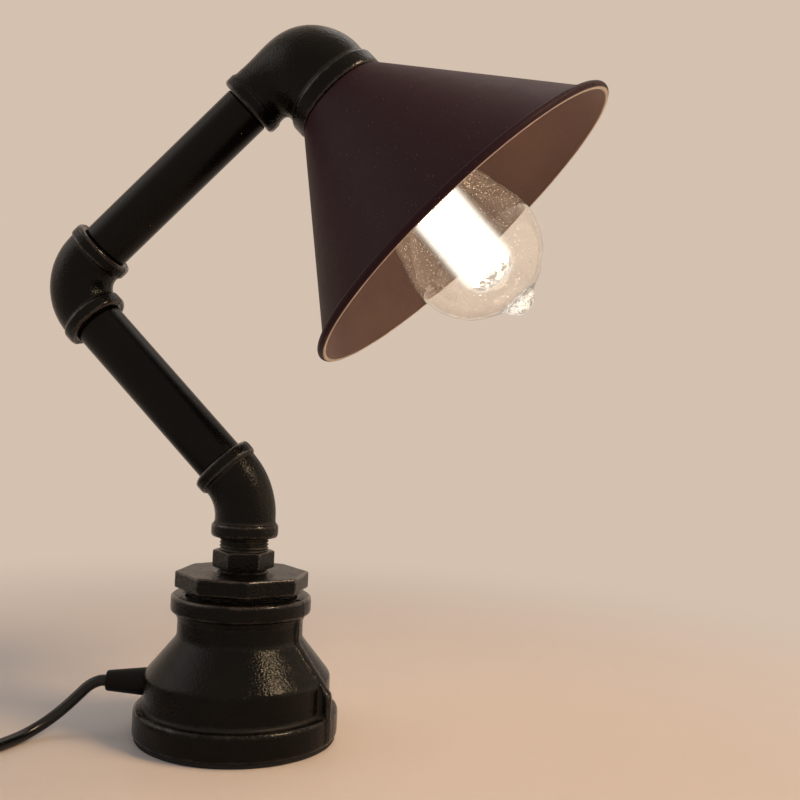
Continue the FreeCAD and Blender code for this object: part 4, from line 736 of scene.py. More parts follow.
def flex_finish():
    """Glossy black sheath of the flex, with a little dust on it."""
    f = Finish("flex_sheath")
    wave = f.noise(4.5 * MM)
    fine = f.noise(0.7 * MM)
    dust = f.ramp(f.noise(2.2 * MM, 4.0, 0.7), 0.60, 0.74)
    return f.paint(
        Base_Color=f.blend(dust * 0.12, bpy.context.scene.lamp_flex.jacket, (0.20, 0.18, 0.16)),
        Roughness=0.17 + fine * 0.10 + dust * 0.18,
        Specular_IOR_Level=0.32,
        Normal=f.bump(wave + fine * 0.25, 0.07 * MM, 0.6),
    )


def metal_finish(name):
    """Plated or bare metal with fine scratches and cloudy tarnish."""
    colour, roughness = METALS[name]
    f = Finish(name)
    scratch = f.noise(0.3 * MM, 2.0, 0.6)
    stained = f.ramp(f.noise(4.5 * MM, 4.0, 0.6), 0.48, 0.75)
    return f.paint(
        Base_Color=f.shades(stained * 0.6, colour, 0.62),
        Metallic=1.0,
        Roughness=roughness + scratch * 0.14 + stained * 0.12,
        Normal=f.bump(scratch, 0.02 * MM, 0.6),
    )


def pin_finish():
    """Brass pins; the line pins have black sleeves on the half next to the plug."""
    f = Finish("plug_pin_brass")
    scratch = f.noise(0.4 * MM, 2.0, 0.6, f.turned_place(ORIGIN, UP, 10.0))
    cloud = f.noise(4.0 * MM, 3.0, 0.6)
    brass = f.blend(f.ramp(cloud, 0.45, 0.7) * 0.5, (0.66, 0.46, 0.20), (0.36, 0.22, 0.09))
    past_line_pins = f.along(PLUG_DIRECTION, PLUG_POINT + PLUG_DIRECTION * LINE_PIN_REACH)
    sleeve = past_line_pins.below(0.0) * f.along(UP, ORIGIN).below(SLEEVE_TOP)
    return f.paint(
        Base_Color=f.blend(sleeve, brass, (0.010, 0.010, 0.011)),
        Metallic=1.0 - sleeve,
        Roughness=0.26 + scratch * 0.14 + sleeve * 0.16,
        Normal=f.bump(scratch, 0.02 * MM, 0.6),
    )


def fuse_finish():
    """Ceramic cartridge fuse with plated end caps."""
    f = Finish("fuse_ceramic")
    low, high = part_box("plug_fuse")
    cap = 1.0 - abs(f.along(PLUG_DIRECTION, (low + high) / 2)).below(7.0 * MM)
    speck = f.noise(0.6 * MM)
    return f.paint(
        Base_Color=f.blend(cap, (0.72, 0.68, 0.60), (0.60, 0.55, 0.46)),
        Metallic=cap,
        Roughness=0.34 + speck * 0.16,
        Normal=f.bump(speck, 0.03 * MM, 0.5),
    )


def porcelain_finish():
    """White glaze with small dark specks."""
    f = Finish("porcelain_glaze")
    speck = f.ramp(f.noise(1.2 * MM), 0.70, 0.78)
    broad = f.noise(10.0 * MM, 3.0)
    return f.paint(
        Base_Color=f.blend(speck * 0.4, (0.78, 0.74, 0.66), (0.42, 0.34, 0.26)),
        Roughness=0.14 + broad * 0.12,
        Normal=f.bump(broad, 0.1 * MM, 0.3),
    )


def glass_finish(name, dust_amount, tip_sheen_and_painted_glints=False):
    """Clear glass with specks of dust; near a sealed tip it turns glossier, and painted glints (emission in
    thin wavy lines) stand for the filament's light caught in its folds.
    """
    f = Finish(name)
    ripple = f.noise(10.0 * MM)
    scatter = f.cells(2.1 * MM)
    chosen = f.node("ShaderNodeSeparateColor", {}, {"Color": scatter.also("Color")})
    speck = f.fall(scatter, 0.13, 0.20) * chosen.below(0.65)
    film = f.noise(8.0 * MM, 4.0, 0.7, distortion=0.8)
    drawn = f.turned_place(GLASS_SEAT, GLASS_AXIS, 3.0)
    streak = f.ramp(f.noise(4.0 * MM, 4.0, 0.8, drawn, 0.7), 0.60, 0.74)
    dust = (speck * f.ramp(film, 0.30, 0.55) * 0.60 + streak * 0.022 + film * 0.012) * dust_amount
    clear = f.surface(Base_Color=(1.0, 0.985, 0.965), Roughness=0.0, IOR=1.47, Transmission_Weight=1.0,
                      Normal=f.bump(ripple, 0.2 * MM, 0.12))
    shone_on = f.node("ShaderNodeBsdfDiffuse", {}, {"Color": GLASS_DUST, "Roughness": 1.0})
    shone_through = f.node("ShaderNodeBsdfTranslucent", {}, {"Color": GLASS_DUST})
    shader = f.mix(dust, clear, f.mix(0.25, shone_on, shone_through))
    if tip_sheen_and_painted_glints:
        from_tip = f.distance(GLASS_TIP)
        sheen = f.node("ShaderNodeBsdfGlossy", {}, {"Color": (1.0, 1.0, 1.0), "Roughness": 0.02})
        shader = f.mix(f.ramp(from_tip, 11.0 * MM, 21.0 * MM, 0.16, 0.0), shader, sheen)
        # Painted glints: emission in thin wavy lines round the sealed tip, a painted highlight of the
        # filament's light in the glass.
        fold = abs(f.noise(4.2 * MM, 2.0, 0.55, distortion=1.6) - 0.5)
        painted_glint = f.fall(fold, 0.015, 0.05) * f.fall(from_tip, 5.0 * MM, 11.5 * MM)
        shader = f.mix(painted_glint * 0.85, shader, f.shine((1.0, 0.94, 0.84), 1.5))
    lamp_ray = f.node("ShaderNodeLightPath", output="Is Shadow Ray")
    opening = f.node("ShaderNodeBsdfTransparent", {}, {"Color": (0.96, 0.955, 0.95)})
    return f.end(f.mix(lamp_ray, shader, opening))


def glow_finish():
    """Lit filament, a little darker in places along its strands."""
    settings = bpy.context.scene.lamp_bulb
    f = Finish("lit_filament")
    return f.paint(
        Base_Color=(0.2, 0.15, 0.1),
        Roughness=0.6,
        Emission_Color=f.shades(f.ramp(f.noise(12.0 * MM), 0.3, 0.7), settings.glow, 0.9),
        Emission_Strength=settings.strength,
    )


def halo_finish():
    """Glare close round the lit filament, fading outwards, with dull strokes over its end."""
    f = Finish("filament_halo")
    cloud = f.noise(20.0 * MM)
    line = abs(f.noise(6.4 * MM, 1.0, distortion=1.4) - 0.5)
    stroke = f.fall(line, 0.060, 0.075) * f.fall(f.distance(CAGE_TIP), 12.0 * MM, 13.0 * MM)
    fade = f.attribute("fade")
    shine = f.shine((1.0, 0.90, 0.78), bpy.context.scene.lamp_bulb.halo_strength)
    glare = f.mix(fade * (0.92 + cloud * 0.16), f.node("ShaderNodeBsdfTransparent"), shine)
    middle_sleeves = fade.below(0.15) * (1.0 - fade.below(0.10))
    return f.end(f.mix(stroke * middle_sleeves, glare, f.shine((0.36, 0.30, 0.24), 1.0)))


def floor_finish(colour):
    """Pale floor that runs into the background away from the lamp."""
    f = Finish("pale_floor")
    tone = f.shades(f.noise(50.0 * MM, 3.0), colour, 0.97)
    near = f.surface(Base_Color=tone, Roughness=0.55, Specular_IOR_Level=0.25)
    far = f.ramp(f.distance(ORIGIN), *FLOOR_FADE)
    return f.end(f.mix(far, near, f.shine(colour, 1.0)))


# --- geometry node trees ---
def cast_surface_tree():
    """Pushes a surface in and out by sand grain and slow waves, and raises a parting line."""
    t = Growth("Cast surface", {
        "Pimple Height": 0.0, "Pimple Size": 1.0, "Wave Height": 0.0, "Wave Size": 1.0,
        "Seam Normal": (0.0, 1.0, 0.0), "Seam Height": 0.0, "Seam Width": 1.0, "Seed": 0.0,
    })
    place = t.node("GeometryNodeInputPosition")

    def roughcast(kind, detail):
        sand = t.node("ShaderNodeTexNoise", {"noise_dimensions": "4D"}, {
            "Vector": place, "W": t.given("Seed"), "Scale": 1.0 / t.given(kind + " Size"),
            "Detail": detail, "Roughness": 0.55,
        })
        return (sand - 0.5) * t.given(kind + " Height")

    share = t.vector_math("DOT_PRODUCT", place, t.given("Seam Normal")) / t.given("Seam Width")
    crest = (1.0 - share * share).most(0.0)
    lift = roughcast("Pimple", 2.0) + roughcast("Wave", 1.0) + crest * crest * t.given("Seam Height")
    offset = t.node("ShaderNodeVectorMath", {"operation": "SCALE"},
                    {0: t.node("GeometryNodeInputNormal"), "Scale": lift})
    return t.end(t.node("GeometryNodeSetPosition", {}, {"Geometry": t.given("Geometry"), "Offset": offset}))


def screw_thread_tree():
    """Ridge of a screw thread, wound up along Z."""
    t = Growth("Screw thread", {"Radius": 1.0, "Pitch": 1.0, "Length": 1.0, "Half Ridge": 0.1})
    helix = t.node("GeometryNodeCurveSpiral", {}, {
        "Resolution": 64, "Rotations": t.given("Length") / t.given("Pitch"),
        "Start Radius": t.given("Radius"), "End Radius": t.given("Radius"), "Height": t.given("Length"),
    })
    upright = t.node("GeometryNodeSetCurveNormal", {"mode": "Z_UP"}, {"Curve": helix})
    return t.end(t.tube(upright, 4, t.given("Half Ridge")))


def filament_cage_tree():
    """One thread that runs up and down round a cage, with a round bend at each end of its strands."""
    t = Growth("Filament cage", {
        "Strands": 12, "Cage Radius": 1.0, "Length": 1.0, "Bend Radius": 0.1, "Wire Radius": 0.1,
    })
    step = 2 * math.pi / t.given("Strands")
    index = t.node("GeometryNodeInputIndex")
    odd = index % 2.0
    not_last = index.below(t.given("Strands") - 1.5)
    ring = t.node("GeometryNodeMeshCircle", {"fill_type": "NONE"},
                  {"Vertices": t.given("Strands"), "Radius": t.given("Cage Radius")})
    strand = t.node("GeometryNodeCurvePrimitiveLine", {"mode": "POINTS"},
                    {"Start": (0, 0, 0), "End": t.vector(z=t.given("Length"))})
    pieces = [t.node("GeometryNodeInstanceOnPoints", {}, {"Points": ring, "Instance": strand})]
    between = t.vector(z=step * 0.5)
    facing = t.vector(math.pi / 2, (index + 0.5) * step + math.pi / 2)
    for height, sweep, chosen in ((t.given("Length"), math.pi, 1.0 - odd), (0.0, -math.pi, odd * not_last)):
        turned = t.node("GeometryNodeTransform", {},
                        {"Geometry": ring, "Translation": t.vector(z=height), "Rotation": between})
        pieces.insert(0, t.node("GeometryNodeInstanceOnPoints", {}, {
            "Points": turned, "Selection": chosen, "Rotation": facing,
            "Instance": t.arc(9, t.given("Bend Radius"), 0.0, sweep),
        }))
    return t.end(t.tube(t.realized(t.joined(*pieces)), 8, t.given("Wire Radius")))


def support_spider_tree():
    """Wire arms round a hub, each with a hook at its end."""
    t = Growth("Support spider", {
        "Arms": 12, "Reach": 1.0, "Rise": 0.1, "Hook Radius": 0.1, "Wire Radius": 0.1,
    })
    reach = t.given("Reach")
    rise = t.given("Rise")
    hook = t.given("Hook Radius")
    arm = t.node("GeometryNodeCurvePrimitiveBezierSegment", {"mode": "POSITION"}, {
        "Resolution": 10,
        "Start": (0.0, 0.0, 0.0),
        "Start Handle": t.vector(reach * 0.3, rise * 0.2),
        "End Handle": t.vector(reach * 0.8, rise * 0.4),
        "End": t.vector(reach, rise),
    })
    upright = t.node("GeometryNodeTransform", {}, {
        "Geometry": t.arc(9, hook, -math.pi / 2, 1.5 * math.pi),
        "Translation": t.vector(reach, rise + hook), "Rotation": (math.pi / 2, 0.0, 0.0),
    })
    hub = t.node("GeometryNodeMeshCircle", {"fill_type": "NONE"},
                 {"Vertices": t.given("Arms"), "Radius": 1e-5})
    turn = t.vector(z=t.node("GeometryNodeInputIndex") * (2 * math.pi / t.given("Arms")))
    placed = t.node("GeometryNodeInstanceOnPoints", {},
                    {"Points": hub, "Instance": t.joined(upright, arm), "Rotation": turn})
    return t.end(t.tube(t.realized(placed), 8, t.given("Wire Radius")))


# --- shapes turned about an axis ---
def clamped(value):
    return min(1.0, max(0.0, value))


def eased(value):
    """Smooth step of a value from 0 to 1."""
    share = clamped(value)
    return share * share * (3 - 2 * share)


def turned(profiles, sides, closed=False):
    """Surfaces turned from (radius, height) points; a radius of 0 is a pole, a closed one has no ends."""
    vertices, faces = [], []
    for profile in profiles:
        rings = []
        for radius, height in profile:
            count = 1 if radius < 1e-7 else sides
            first = len(vertices)
            for k in range(count):
                turn = 2 * math.pi * k / sides
                vertices.append((radius * math.cos(turn), radius * math.sin(turn), height))
            rings.append([first + k % count for k in range(sides)])
        if closed:
            rings.append(rings[0])
        for low, high in zip(rings, rings[1:]):
            for k in range(sides):
                corners = (low[k], low[(k + 1) % sides], high[(k + 1) % sides], high[k])
                kept = tuple(dict.fromkeys(corners))
                if len(kept) > 2:
                    faces.append(kept)
    return vertices, faces


def arc_points(centre, radius, start, end, steps):
    """Points of an arc in the (radius, height) plane, without its first point."""
    points = []
    for i in range(1, steps + 1):
        angle = start + (end - start) * i / steps
        points.append((centre[0] + radius * math.cos(angle), centre[1] + radius * math.sin(angle)))
    return points


def rolled_cap(thread):
    """Threaded shell of the bulb cap: a rolled thread between two plain rims."""
    outer = [(BULB_CAP_RADIUS - inwards, BULB_CAP_BACK + forwards) for inwards, forwards in CAP_SHOULDER]
    for i in range(CAP_STEPS + 1):
        height = BULB_CAP_BACK + CAP_RIM + (BULB_CAP_LENGTH - CAP_RIM) * i / CAP_STEPS
        outer.append((BULB_CAP_RADIUS, height))
    inner = [(radius - CAP_WALL, height) for radius, height in reversed(outer)]
    mesh = mesh_of("threaded_cap", *turned([outer + inner], CAP_SIDES, True), metal_finish("cap_plating"))
    for vertex in mesh.vertices:
        x, y, height = vertex.co
        inside = (height - BULB_CAP_BACK) / BULB_CAP_LENGTH
        swell = clamped((inside - 0.10) / 0.08) * clamped((0.90 - inside) / 0.08)
        phase = 2 * math.pi * height / thread.cap_pitch - math.atan2(y, x)
        groove = thread.cap_depth * (0.5 - 0.5 * math.cos(phase)) * swell
        vertex.co.xy *= 1.0 - groove / vertex.co.xy.length
    return mesh


def cage_radius(height):
    """Radius of the filament cage, which draws in to a dome at its end."""
    share = clamped((height - CAGE_END + CAGE_DOME) / CAGE_DOME)
    return CAGE_END_RADIUS + (CAGE_RADIUS - CAGE_END_RADIUS) * math.sqrt(1.0 - share * share)


def sleeve_outline(swell):
    """Half outline of a sleeve that stands out of the filament cage and ends in a dome."""
    bottom = CAGE_TOP - swell
    outline = [(0.0, bottom), (CAGE_RADIUS + swell - 3 * MM, bottom), (CAGE_RADIUS + swell, bottom + 2 * MM)]
    for i in range(1, 25):
        height = bottom + 2 * MM + (CAGE_END - bottom - 2 * MM) * i / 24
        outline.append((cage_radius(height) + swell, height))
    for i in range(1, 9):
        angle = math.pi / 2 * i / 8
        outline.append(((CAGE_END_RADIUS + swell) * math.cos(angle),
                        CAGE_END + (4.0 * MM + swell * 0.8) * math.sin(angle)))
    return outline


def halo_mesh():
    """Nested sleeves round the filament; each outer one is fainter, and all are fainter at the end."""
    vertices, faces = turned([sleeve_outline(sleeve[0]) for sleeve in HALO_SLEEVES], HALO_SIDES)
    mesh = mesh_of("filament_halo", vertices, faces, halo_finish())
    each = len(vertices) // len(HALO_SLEEVES)
    fades = [HALO_SLEEVES[i // each][1] * (1.0 if vertex[2] < CAGE_END else 0.75)
             for i, vertex in enumerate(vertices)]
    mesh.attributes.new("fade", "FLOAT", "POINT").data.foreach_set("value", fades)
    return mesh


def glass_outline(inset):
    """Half outline of one surface of the glass, from the collar up to the ball."""
    radius = BULB_RADIUS - inset
    neck = BULB_NECK_RADIUS - inset
    collar = BULB_COLLAR_RADIUS - inset
    touch = (radius * math.cos(BULB_FLARE), BULB_CENTRE - radius * math.sin(BULB_FLARE))
    neck_height = touch[1] - (touch[0] - neck) / math.tan(BULB_FLARE)
    shoulder = BULB_CAP_FRONT + 0.8 * MM + inset / 2
    outline = [(collar, BULB_CAP_BACK + 6.0 * MM), (collar, shoulder)]
    for i in range(1, 9):
        height = shoulder + (neck_height - shoulder) * i / 8
        outline.append((collar + (neck - collar) * eased(i / 8), height))
    for i in range(1, 7):
        height = neck_height + (touch[1] - neck_height) * i / 6
        outline.append((neck + (touch[0] - neck) * i / 6, height))
    return outline, radius


def blown_glass():
    """Glass of the bulb: an even wall, and a solid lump where the tip was sealed."""
    outer, radius = glass_outline(0.0)
    middle = (0.0, BULB_CENTRE)
    tip_middle = BULB_CENTRE + BULB_RADIUS + TIP_RISE - TIP_RADIUS
    apart = tip_middle - BULB_CENTRE
    long_side = radius + TIP_HOLLOW
    short_side = TIP_RADIUS + TIP_HOLLOW
    rise = (long_side ** 2 - short_side ** 2 + apart ** 2) / (2 * apart)
    hollow = (math.sqrt(long_side ** 2 - rise ** 2), BULB_CENTRE + rise)
    leave = math.atan2(rise, hollow[0])
    arrive = math.atan2(hollow[1] - tip_middle, hollow[0])
    outer += arc_points(middle, radius, -BULB_FLARE, leave, 40)
    outer += arc_points(hollow, TIP_HOLLOW, leave + math.pi, arrive + math.pi, 8)
    outer += arc_points((0.0, tip_middle), TIP_RADIUS, arrive, math.pi / 2, 12)
    inner, inner_radius = glass_outline(GLASS_WALL)
    inner += arc_points(middle, inner_radius, -BULB_FLARE, math.radians(76), 40)
    inner += [(4.5 * MM, BULB_CENTRE + BULB_RADIUS - 0.6 * MM), (0.0, BULB_CENTRE + BULB_RADIUS + 0.6 * MM)]
    glass = mesh_of("blown_glass", *turned([outer + inner[::-1]], GLASS_SIDES, True),
                    glass_finish("bulb_glass_clear", 1.0, True))
    end = Vector((0, 0, BULB_CENTRE + BULB_RADIUS))
    sideways = UP.rotation_difference(GLASS_AXIS).inverted() @ UPPER_AXIS * TIP_LEAN
    noise.seed_set(FOLD_SEED)
    for vertex in glass.vertices:
        fold = max(0.0, 1.0 - (vertex.co - end).length / FOLD_REACH) * TIP_FOLDS
        lean = eased((vertex.co.z - BULB_CENTRE - LEAN_START) / LEAN_LENGTH)
        vertex.co += noise.noise_vector(vertex.co / FOLD_SIZE) * fold + sideways * lean
    return glass


# --- flex ---
def coil_points(settings):
    """Points of the spare flex: a spiral inwards on the table and one outwards on top of it."""
    radius = settings.diameter / 2
    steps = round(settings.layer_turns * settings.turn_points)
    points = []
    for layer, (start, end) in enumerate(((settings.outer_turn, settings.inner_turn),
                                          (settings.inner_turn, settings.outer_turn))):
        for i in range(1, steps + 1):
            share = i / steps
            angle = -math.pi / 2 - 2 * math.pi * settings.layer_turns * (layer + share)
            turn = start + (end - start) * share
            height = radius if layer == 0 else 3 * radius
            if layer == 1 and i <= 2:
                height = radius * (1 + 2 * i / 3)
            points.append(COIL_CENTRE + Vector((turn * math.cos(angle), turn * math.sin(angle), height)))
    return points[:-1]


def flex_route(settings):
    """Route of the flex: boot, table, switch, coil and plug."""
    lead = [
        GRIP_MOUTH - CORD_DIRECTION * 8.0 * MM,
        GRIP_MOUTH,
        GRIP_MOUTH + CORD_DIRECTION * 3.5 * MM,
        *(Vector(point) * MM for point in TABLE_POINTS),
        SWITCH_INLET - SWITCH_DIRECTION * 5.0 * MM,
        SWITCH_INLET,
    ]
    tail = [
        SWITCH_OUTLET,
        SWITCH_OUTLET + SWITCH_DIRECTION * 5.0 * MM,
        *(COIL_CENTRE + Vector(point) * MM for point in TO_COIL),
    ]
    plug_lead = [
        *(COIL_CENTRE + Vector(point) * MM for point in FROM_COIL),
        PLUG_POINT,
        PLUG_POINT + PLUG_DIRECTION * 12.0 * MM,
    ]
    return lead + tail + coil_points(settings) + plug_lead


class PIPE_LAMP_OT_camera(bpy.types.Operator):
    """Put the camera where the lamp is looked at"""
    bl_idname = "pipe_lamp.camera"
    bl_label = "Camera"

    def execute(self, context):
        data = bpy.data.cameras.new("viewpoint")
        data.sensor_width = CAMERA_SENSOR
        data.lens = CAMERA_LENS
        data.clip_start = 0.01
        camera = linked("viewpoint", data)
        turn = (Matrix.Rotation(CAMERA_YAW, 4, "Z") @ Matrix.Rotation(math.pi / 2 + CAMERA_PITCH, 4, "X")
                @ Matrix.Rotation(CAMERA_ROLL, 4, "Z"))
        camera.matrix_world = Matrix.Translation(CAMERA_PLACE) @ turn
        context.scene.camera = camera
        return {"FINISHED"}


class PIPE_LAMP_OT_flex(bpy.types.Operator):
    """Lay the mains flex from the boot through the switch and the coil to the plug"""
    bl_idname = "pipe_lamp.flex"
    bl_label = "Mains flex"

    def execute(self, context):
        settings = context.scene.lamp_flex
        curve = bpy.data.curves.new("mains_flex", "CURVE")
        curve.dimensions = "3D"
        curve.resolution_u = 8
        curve.bevel_depth = settings.diameter / 2
        curve.bevel_resolution = 6
        curve.use_fill_caps = True
        route = flex_route(settings)
        spline = curve.splines.new("NURBS")
        spline.points.add(len(route) - 1)
        for point, place in zip(spline.points, route):
            point.co = (*place, 1.0)
        spline.order_u = 3
        spline.use_endpoint_u = True
        curve.materials.append(flex_finish())
        flex = linked("mains_flex", curve)
        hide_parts("cord_lead", "cord_tail", "cord_coil", "cord_plug_lead")
        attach(flex, "base")
        return {"FINISHED"}


def cast_piece(name, mesh, body, node, finish, seed, sand, wave, grain, smoothing, seam=None):
    """Give a copy of a node's mesh its rounded corners, sand grain and parting line."""
    iron = bpy.context.scene.lamp_iron
    made = grown(name, mesh, bpy.data.node_groups.get("Cast surface") or cast_surface_tree(), {
        "Pimple Height": iron.pimple_height * sand, "Pimple Size": iron.pimple_size,
        "Wave Height": wave[0], "Wave Size": wave[1],
        "Seam Normal": seam or UP, "Seam Height": iron.seam_height if seam else 0.0,
        "Seam Width": iron.seam_width, "Seed": float(seed), "Material": finish,
    }, [
        ("REMESH", {"mode": "VOXEL", "voxel_size": grain}),
        ("SMOOTH", {"factor": 0.5, "iterations": smoothing}),
    ])
    mark_edges(made)
    new_piece(name, made, body, (node,))


class PIPE_LAMP_OT_castings(bpy.types.Operator):
    """Give the castings their rounded corners, sand grain and parting lines"""
    bl_idname = "pipe_lamp.castings"
    bl_label = "Castings"

    def execute(self, context):
        grain = context.scene.lamp_iron.grain
        plain = cast_iron_finish()
        finishes = {"bush_casting": cast_iron_finish("bush_paint", 0.1, 0.62 * MM)}
        for seed, (name, (node, body, mesh_size, sand, smoothing, seam)) in enumerate(CASTINGS.items()):
            cast_piece(name, merged_copy(node), body, node, finishes.get(name, plain), seed, sand, CAST_WAVE,
                       grain * mesh_size, smoothing, seam)
        return {"FINISHED"}


def nipple_body():
    """Copy of the nipple with its threads cut down to their roots."""
    mesh = merged_copy("hex_nipple")
    root = THREAD_RADIUS - bpy.context.scene.lamp_thread.depth + 0.15 * MM
    for vertex in mesh.vertices:
        radius = vertex.co.xy.length
        if THREAD_RADIUS - 1.0 * MM < radius < THREAD_RADIUS + 0.05 * MM:
            vertex.co.xy *= root / radius
    return mesh


class PIPE_LAMP_OT_nipple(bpy.types.Operator):
    """Make the hexagon nipple and wind its pipe threads"""
    bl_idname = "pipe_lamp.nipple"
    bl_label = "Nipple and threads"

    def execute(self, context):
        finish = cast_iron_finish("nipple_paint", 0.3)
        cast_piece("nipple_hexagon", nipple_body(), "base", "hex_nipple", finish, NIPPLE_SEED, 1.3,
                   NIPPLE_WAVE, 0.48 * MM, 3)
        pitch = context.scene.lamp_thread.pitch
        half_ridge = pitch * 0.46
        tree = screw_thread_tree()
        wear_and_painted_rim_highlight = thread_finish()
        for name, bottom, top in (("upper_thread", HEX_TOP - 0.4 * MM, LOW_ELBOW_FACE + 5.0 * MM),
                                  ("lower_thread", BUSH_TOP - 4.0 * MM, HEX_BOTTOM + 0.4 * MM)):
            mesh = grown(name, bpy.data.meshes.new(name), tree, {
                "Radius": THREAD_RADIUS + 0.12 * MM - half_ridge, "Pitch": pitch, "Length": top - bottom,
                "Half Ridge": half_ridge, "Material": wear_and_painted_rim_highlight,
            })
            mesh.transform(Matrix.Translation(UP * bottom))
            new_piece(name, mesh, "base", (), 30.0)
        return {"FINISHED"}


class PIPE_LAMP_OT_pipes(bpy.types.Operator):
    """Paint the two pipes"""
    bl_idname = "pipe_lamp.pipes"
    bl_label = "Pipes"

    def execute(self, context):
        dress(pipe_finish("lower_pipe_paint", MID_CORNER, LOWER_AXIS), "lower_pipe")
        dress(pipe_finish("upper_pipe_paint", MID_CORNER, UPPER_AXIS), "upper_pipe")
        return {"FINISHED"}


class PIPE_LAMP_OT_shade(bpy.types.Operator):
    """Finish the shade, its clamping ring and the lampholder"""
    bl_idname = "pipe_lamp.shade"
    bl_label = "Shade"

    def execute(self, context):
        dress(shade_finish(), "shade")
        dress(moulded_finish("phenolic"), "holder_shell", "shade_ring")
        dress(porcelain_finish(), "holder_insert")
        dress(metal_finish("contact_brass"), "thread_sleeve", "contact_spring")
        return {"FINISHED"}


class PIPE_LAMP_OT_bulb(bpy.types.Operator):
    """Light the bulb: filament cage, glass, stem and threaded cap"""
    bl_idname = "pipe_lamp.bulb"
    bl_label = "Bulb"

    def execute(self, context):
        bulb = context.scene.lamp_bulb
        in_glass = stand(GLASS_SEAT - GLASS_AXIS * BULB_CAP_FRONT, GLASS_AXIS)
        bend = CAGE_RADIUS * math.sin(math.pi / bulb.strands)
        cage = grown("filament_cage", bpy.data.meshes.new("filament_cage"), filament_cage_tree(), {
            "Strands": bulb.strands, "Cage Radius": CAGE_RADIUS, "Length": CAGE_END - CAGE_TOP - 2 * bend,
            "Bend Radius": bend, "Wire Radius": bulb.strand_radius, "Material": glow_finish(),
        })
        for vertex in cage.vertices:
            vertex.co.z += CAGE_TOP + bend
            vertex.co.xy *= cage_radius(vertex.co.z) / CAGE_RADIUS
        cage.transform(in_glass)
        new_piece("filament_cage", cage, "bulb", ("filament",))
        nickel = metal_finish("nickel_wire")
        spider = support_spider_tree()
        for name, (replaced, height, reach, rise) in SUPPORTS.items():
            wires = grown(name, bpy.data.meshes.new(name), spider, {
                "Arms": bulb.strands // 2, "Reach": reach, "Rise": rise, "Hook Radius": HOOK_RADIUS,
                "Wire Radius": SUPPORT_RADIUS, "Material": nickel,
            })
            wires.transform(in_glass @ Matrix.Translation(UP * height))
            new_piece(name, wires, "bulb", replaced)
        halo = halo_mesh()
        halo.transform(in_glass)
        new_piece("filament_halo", halo, "bulb")
        cap = rolled_cap(context.scene.lamp_thread)
        cap.transform(stand(HEAD_CORNER, HEAD_AXIS))
        new_piece("threaded_cap", cap, "bulb", ("bulb_cap",), 50.0)
        glass = blown_glass()
        glass.transform(in_glass)
        new_piece("blown_glass", glass, "bulb", ("bulb_glass",))
        dress(glass_finish("stem_glass_clear", 0.0), "glass_stem")
        dress(nickel, "lead_in_wires")
        dress(moulded_finish("cap_glass_black"), "cap_insulator")
        dress(metal_finish("cap_solder"), "cap_contact")
        return {"FINISHED"}


class PIPE_LAMP_OT_base_fittings(bpy.types.Operator):
    """Finish the foot pad, the boot and the wiring inside the lamp"""
    bl_idname = "pipe_lamp.base_fittings"
    bl_label = "Base fittings"

    def execute(self, context):
        dress(moulded_finish("foot_rubber"), "foot_pad")
        dress(moulded_finish("boot_rubber"), "cord_grip", "grip_nut")
        dress(moulded_finish("inner_sheath"), "base_flex", "riser_flex", "lower_flex", "upper_flex",
              "head_flex")
        dress(moulded_finish("terminal_strip"), "connector_block")
        dress(metal_finish("terminal_brass"), "block_inserts", "earth_tag")
        dress(metal_finish("screw_zinc"), "block_screws", "earth_screw")
        return {"FINISHED"}


class PIPE_LAMP_OT_switch_and_plug(bpy.types.Operator):
    """Finish the switch on the flex and the mains plug"""
    bl_idname = "pipe_lamp.switch_and_plug"
    bl_label = "Switch and plug"

    def execute(self, context):
        dress(moulded_finish("moulded_black"), "switch_base", "switch_cover", "plug_body", "plug_relief")
        dress(moulded_finish("rocker_black"), "switch_rocker")
        dress(moulded_finish("fuse_lid_grey"), "fuse_carrier")
        dress(pin_finish(), "plug_pins")
        dress(fuse_finish(), "plug_fuse")
        return {"FINISHED"}


# --- stage ---
def soft_lamp(name, main_power):
    """One of the round soft lamps, turned towards the lamp on the floor."""
    place, width, share, colour = LAMPS[name]
    data = bpy.data.lights.new(name, "AREA")
    data.shape = "DISK"
    data.size = width
    data.energy = main_power * share
    data.color = colour
    lamp = linked(name, data)
    lamp.visible_transmission = False
    turn = (LAMP_TARGET - Vector(place)).to_track_quat("-Z", "Y")
    lamp.matrix_world = Matrix.Translation(place) @ turn.to_matrix().to_4x4()
    return lamp


def spare_glass_from(lamp):
    """Keep the bright spot of a small lamp off the glass of the bulb."""
    spared = bpy.data.collections.new("glass_without_lamp_spot")
    spared.objects.link(bpy.data.objects["blown_glass"])
    for entry in spared.collection_objects:
        entry.light_linking.link_state = "EXCLUDE"
    lamp.light_linking.receiver_collection = spared


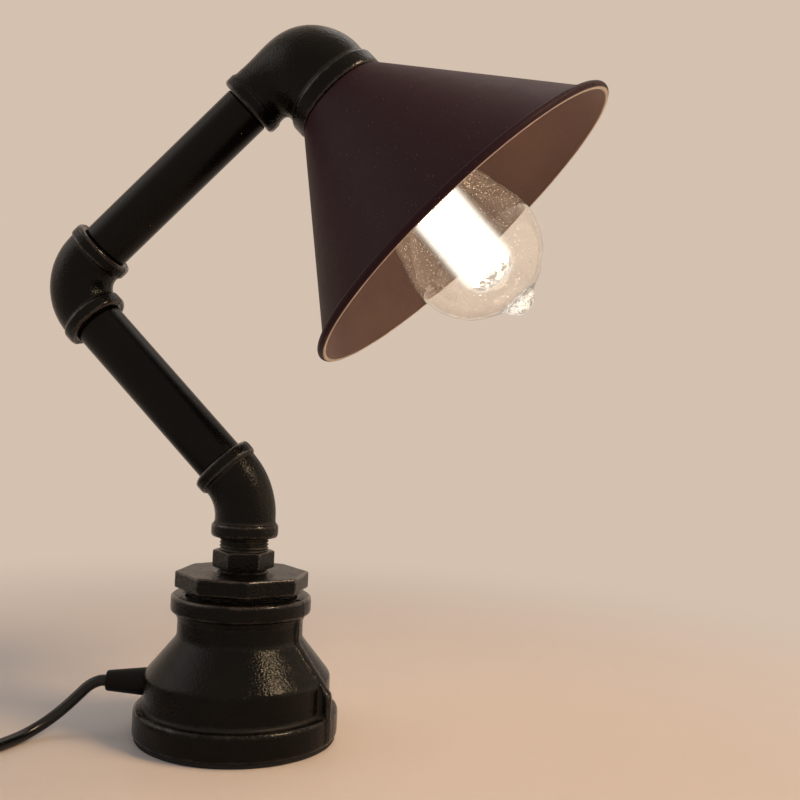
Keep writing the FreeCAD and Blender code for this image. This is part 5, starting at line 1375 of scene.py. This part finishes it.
class PIPE_LAMP_OT_stage(bpy.types.Operator):
    """Set up the pale floor, the background and the soft lamps"""
    bl_idname = "pipe_lamp.stage"
    bl_label = "Stage"

    def execute(self, context):
        settings = context.scene.lamp_stage
        corners = [(x * FLOOR_REACH, y * FLOOR_REACH, 0.0) for x, y in ((-1, -1), (1, -1), (1, 1), (-1, 1))]
        linked("floor", mesh_of("floor", corners, [(0, 1, 2, 3)], floor_finish(settings.floor)))
        world = bpy.data.worlds.new("studio")
        world.use_nodes = True
        world.node_tree.nodes.clear()
        context.scene.world = world
        t = NodeTree(world.node_tree)
        path = t.node("ShaderNodeLightPath", output="Is Camera Ray")
        shown = path.most(path.also("Is Glossy Ray")).most(path.also("Is Transmission Ray"))
        room = [settings.room_light * tint for tint in (0.95, 1.08, 1.30)]
        light = t.blend(shown, room, settings.floor)
        t.node("ShaderNodeOutputWorld", {}, {
            "Surface": t.node("ShaderNodeBackground", {}, {"Color": light, "Strength": 1.0}),
        })
        lamps = {name: soft_lamp(name, settings.lamp_power) for name in LAMPS}
        spare_glass_from(lamps["key_lamp"])
        context.scene.view_settings.view_transform = "Standard"
        return {"FINISHED"}


OPERATORS = (
    PIPE_LAMP_OT_camera, PIPE_LAMP_OT_flex, PIPE_LAMP_OT_castings, PIPE_LAMP_OT_nipple, PIPE_LAMP_OT_pipes,
    PIPE_LAMP_OT_shade, PIPE_LAMP_OT_bulb, PIPE_LAMP_OT_base_fittings, PIPE_LAMP_OT_switch_and_plug,
    PIPE_LAMP_OT_stage,
)


class PIPE_LAMP_PT_panel(bpy.types.Panel):
    """Settings of the lamp and the steps that make it"""
    bl_idname = "PIPE_LAMP_PT_panel"
    bl_label = "Pipe Table Lamp"
    bl_space_type = "VIEW_3D"
    bl_region_type = "UI"
    bl_category = "Pipe Lamp"

    def draw(self, context):
        for name in SETTINGS:
            box = self.layout.box()
            box.label(text=name.replace("lamp_", "").title())
            group = getattr(context.scene, name)
            for key in group.__annotations__:
                box.prop(group, key)
        for operator in OPERATORS:
            self.layout.operator(operator.bl_idname)


def register():
    for group in SETTINGS.values():
        bpy.utils.register_class(group)
    for name, group in SETTINGS.items():
        setattr(bpy.types.Scene, name, PointerProperty(type=group))
    for operator in OPERATORS:
        bpy.utils.register_class(operator)
    bpy.utils.register_class(PIPE_LAMP_PT_panel)


def unregister():
    bpy.utils.unregister_class(PIPE_LAMP_PT_panel)
    for operator in reversed(OPERATORS):
        bpy.utils.unregister_class(operator)
    for name in SETTINGS:
        delattr(bpy.types.Scene, name)
    for group in SETTINGS.values():
        bpy.utils.unregister_class(group)


def main():
    register()
    for operator in OPERATORS:
        family, name = operator.bl_idname.split(".")
        getattr(getattr(bpy.ops, family), name)()


if __name__ == "__main__":
    main()
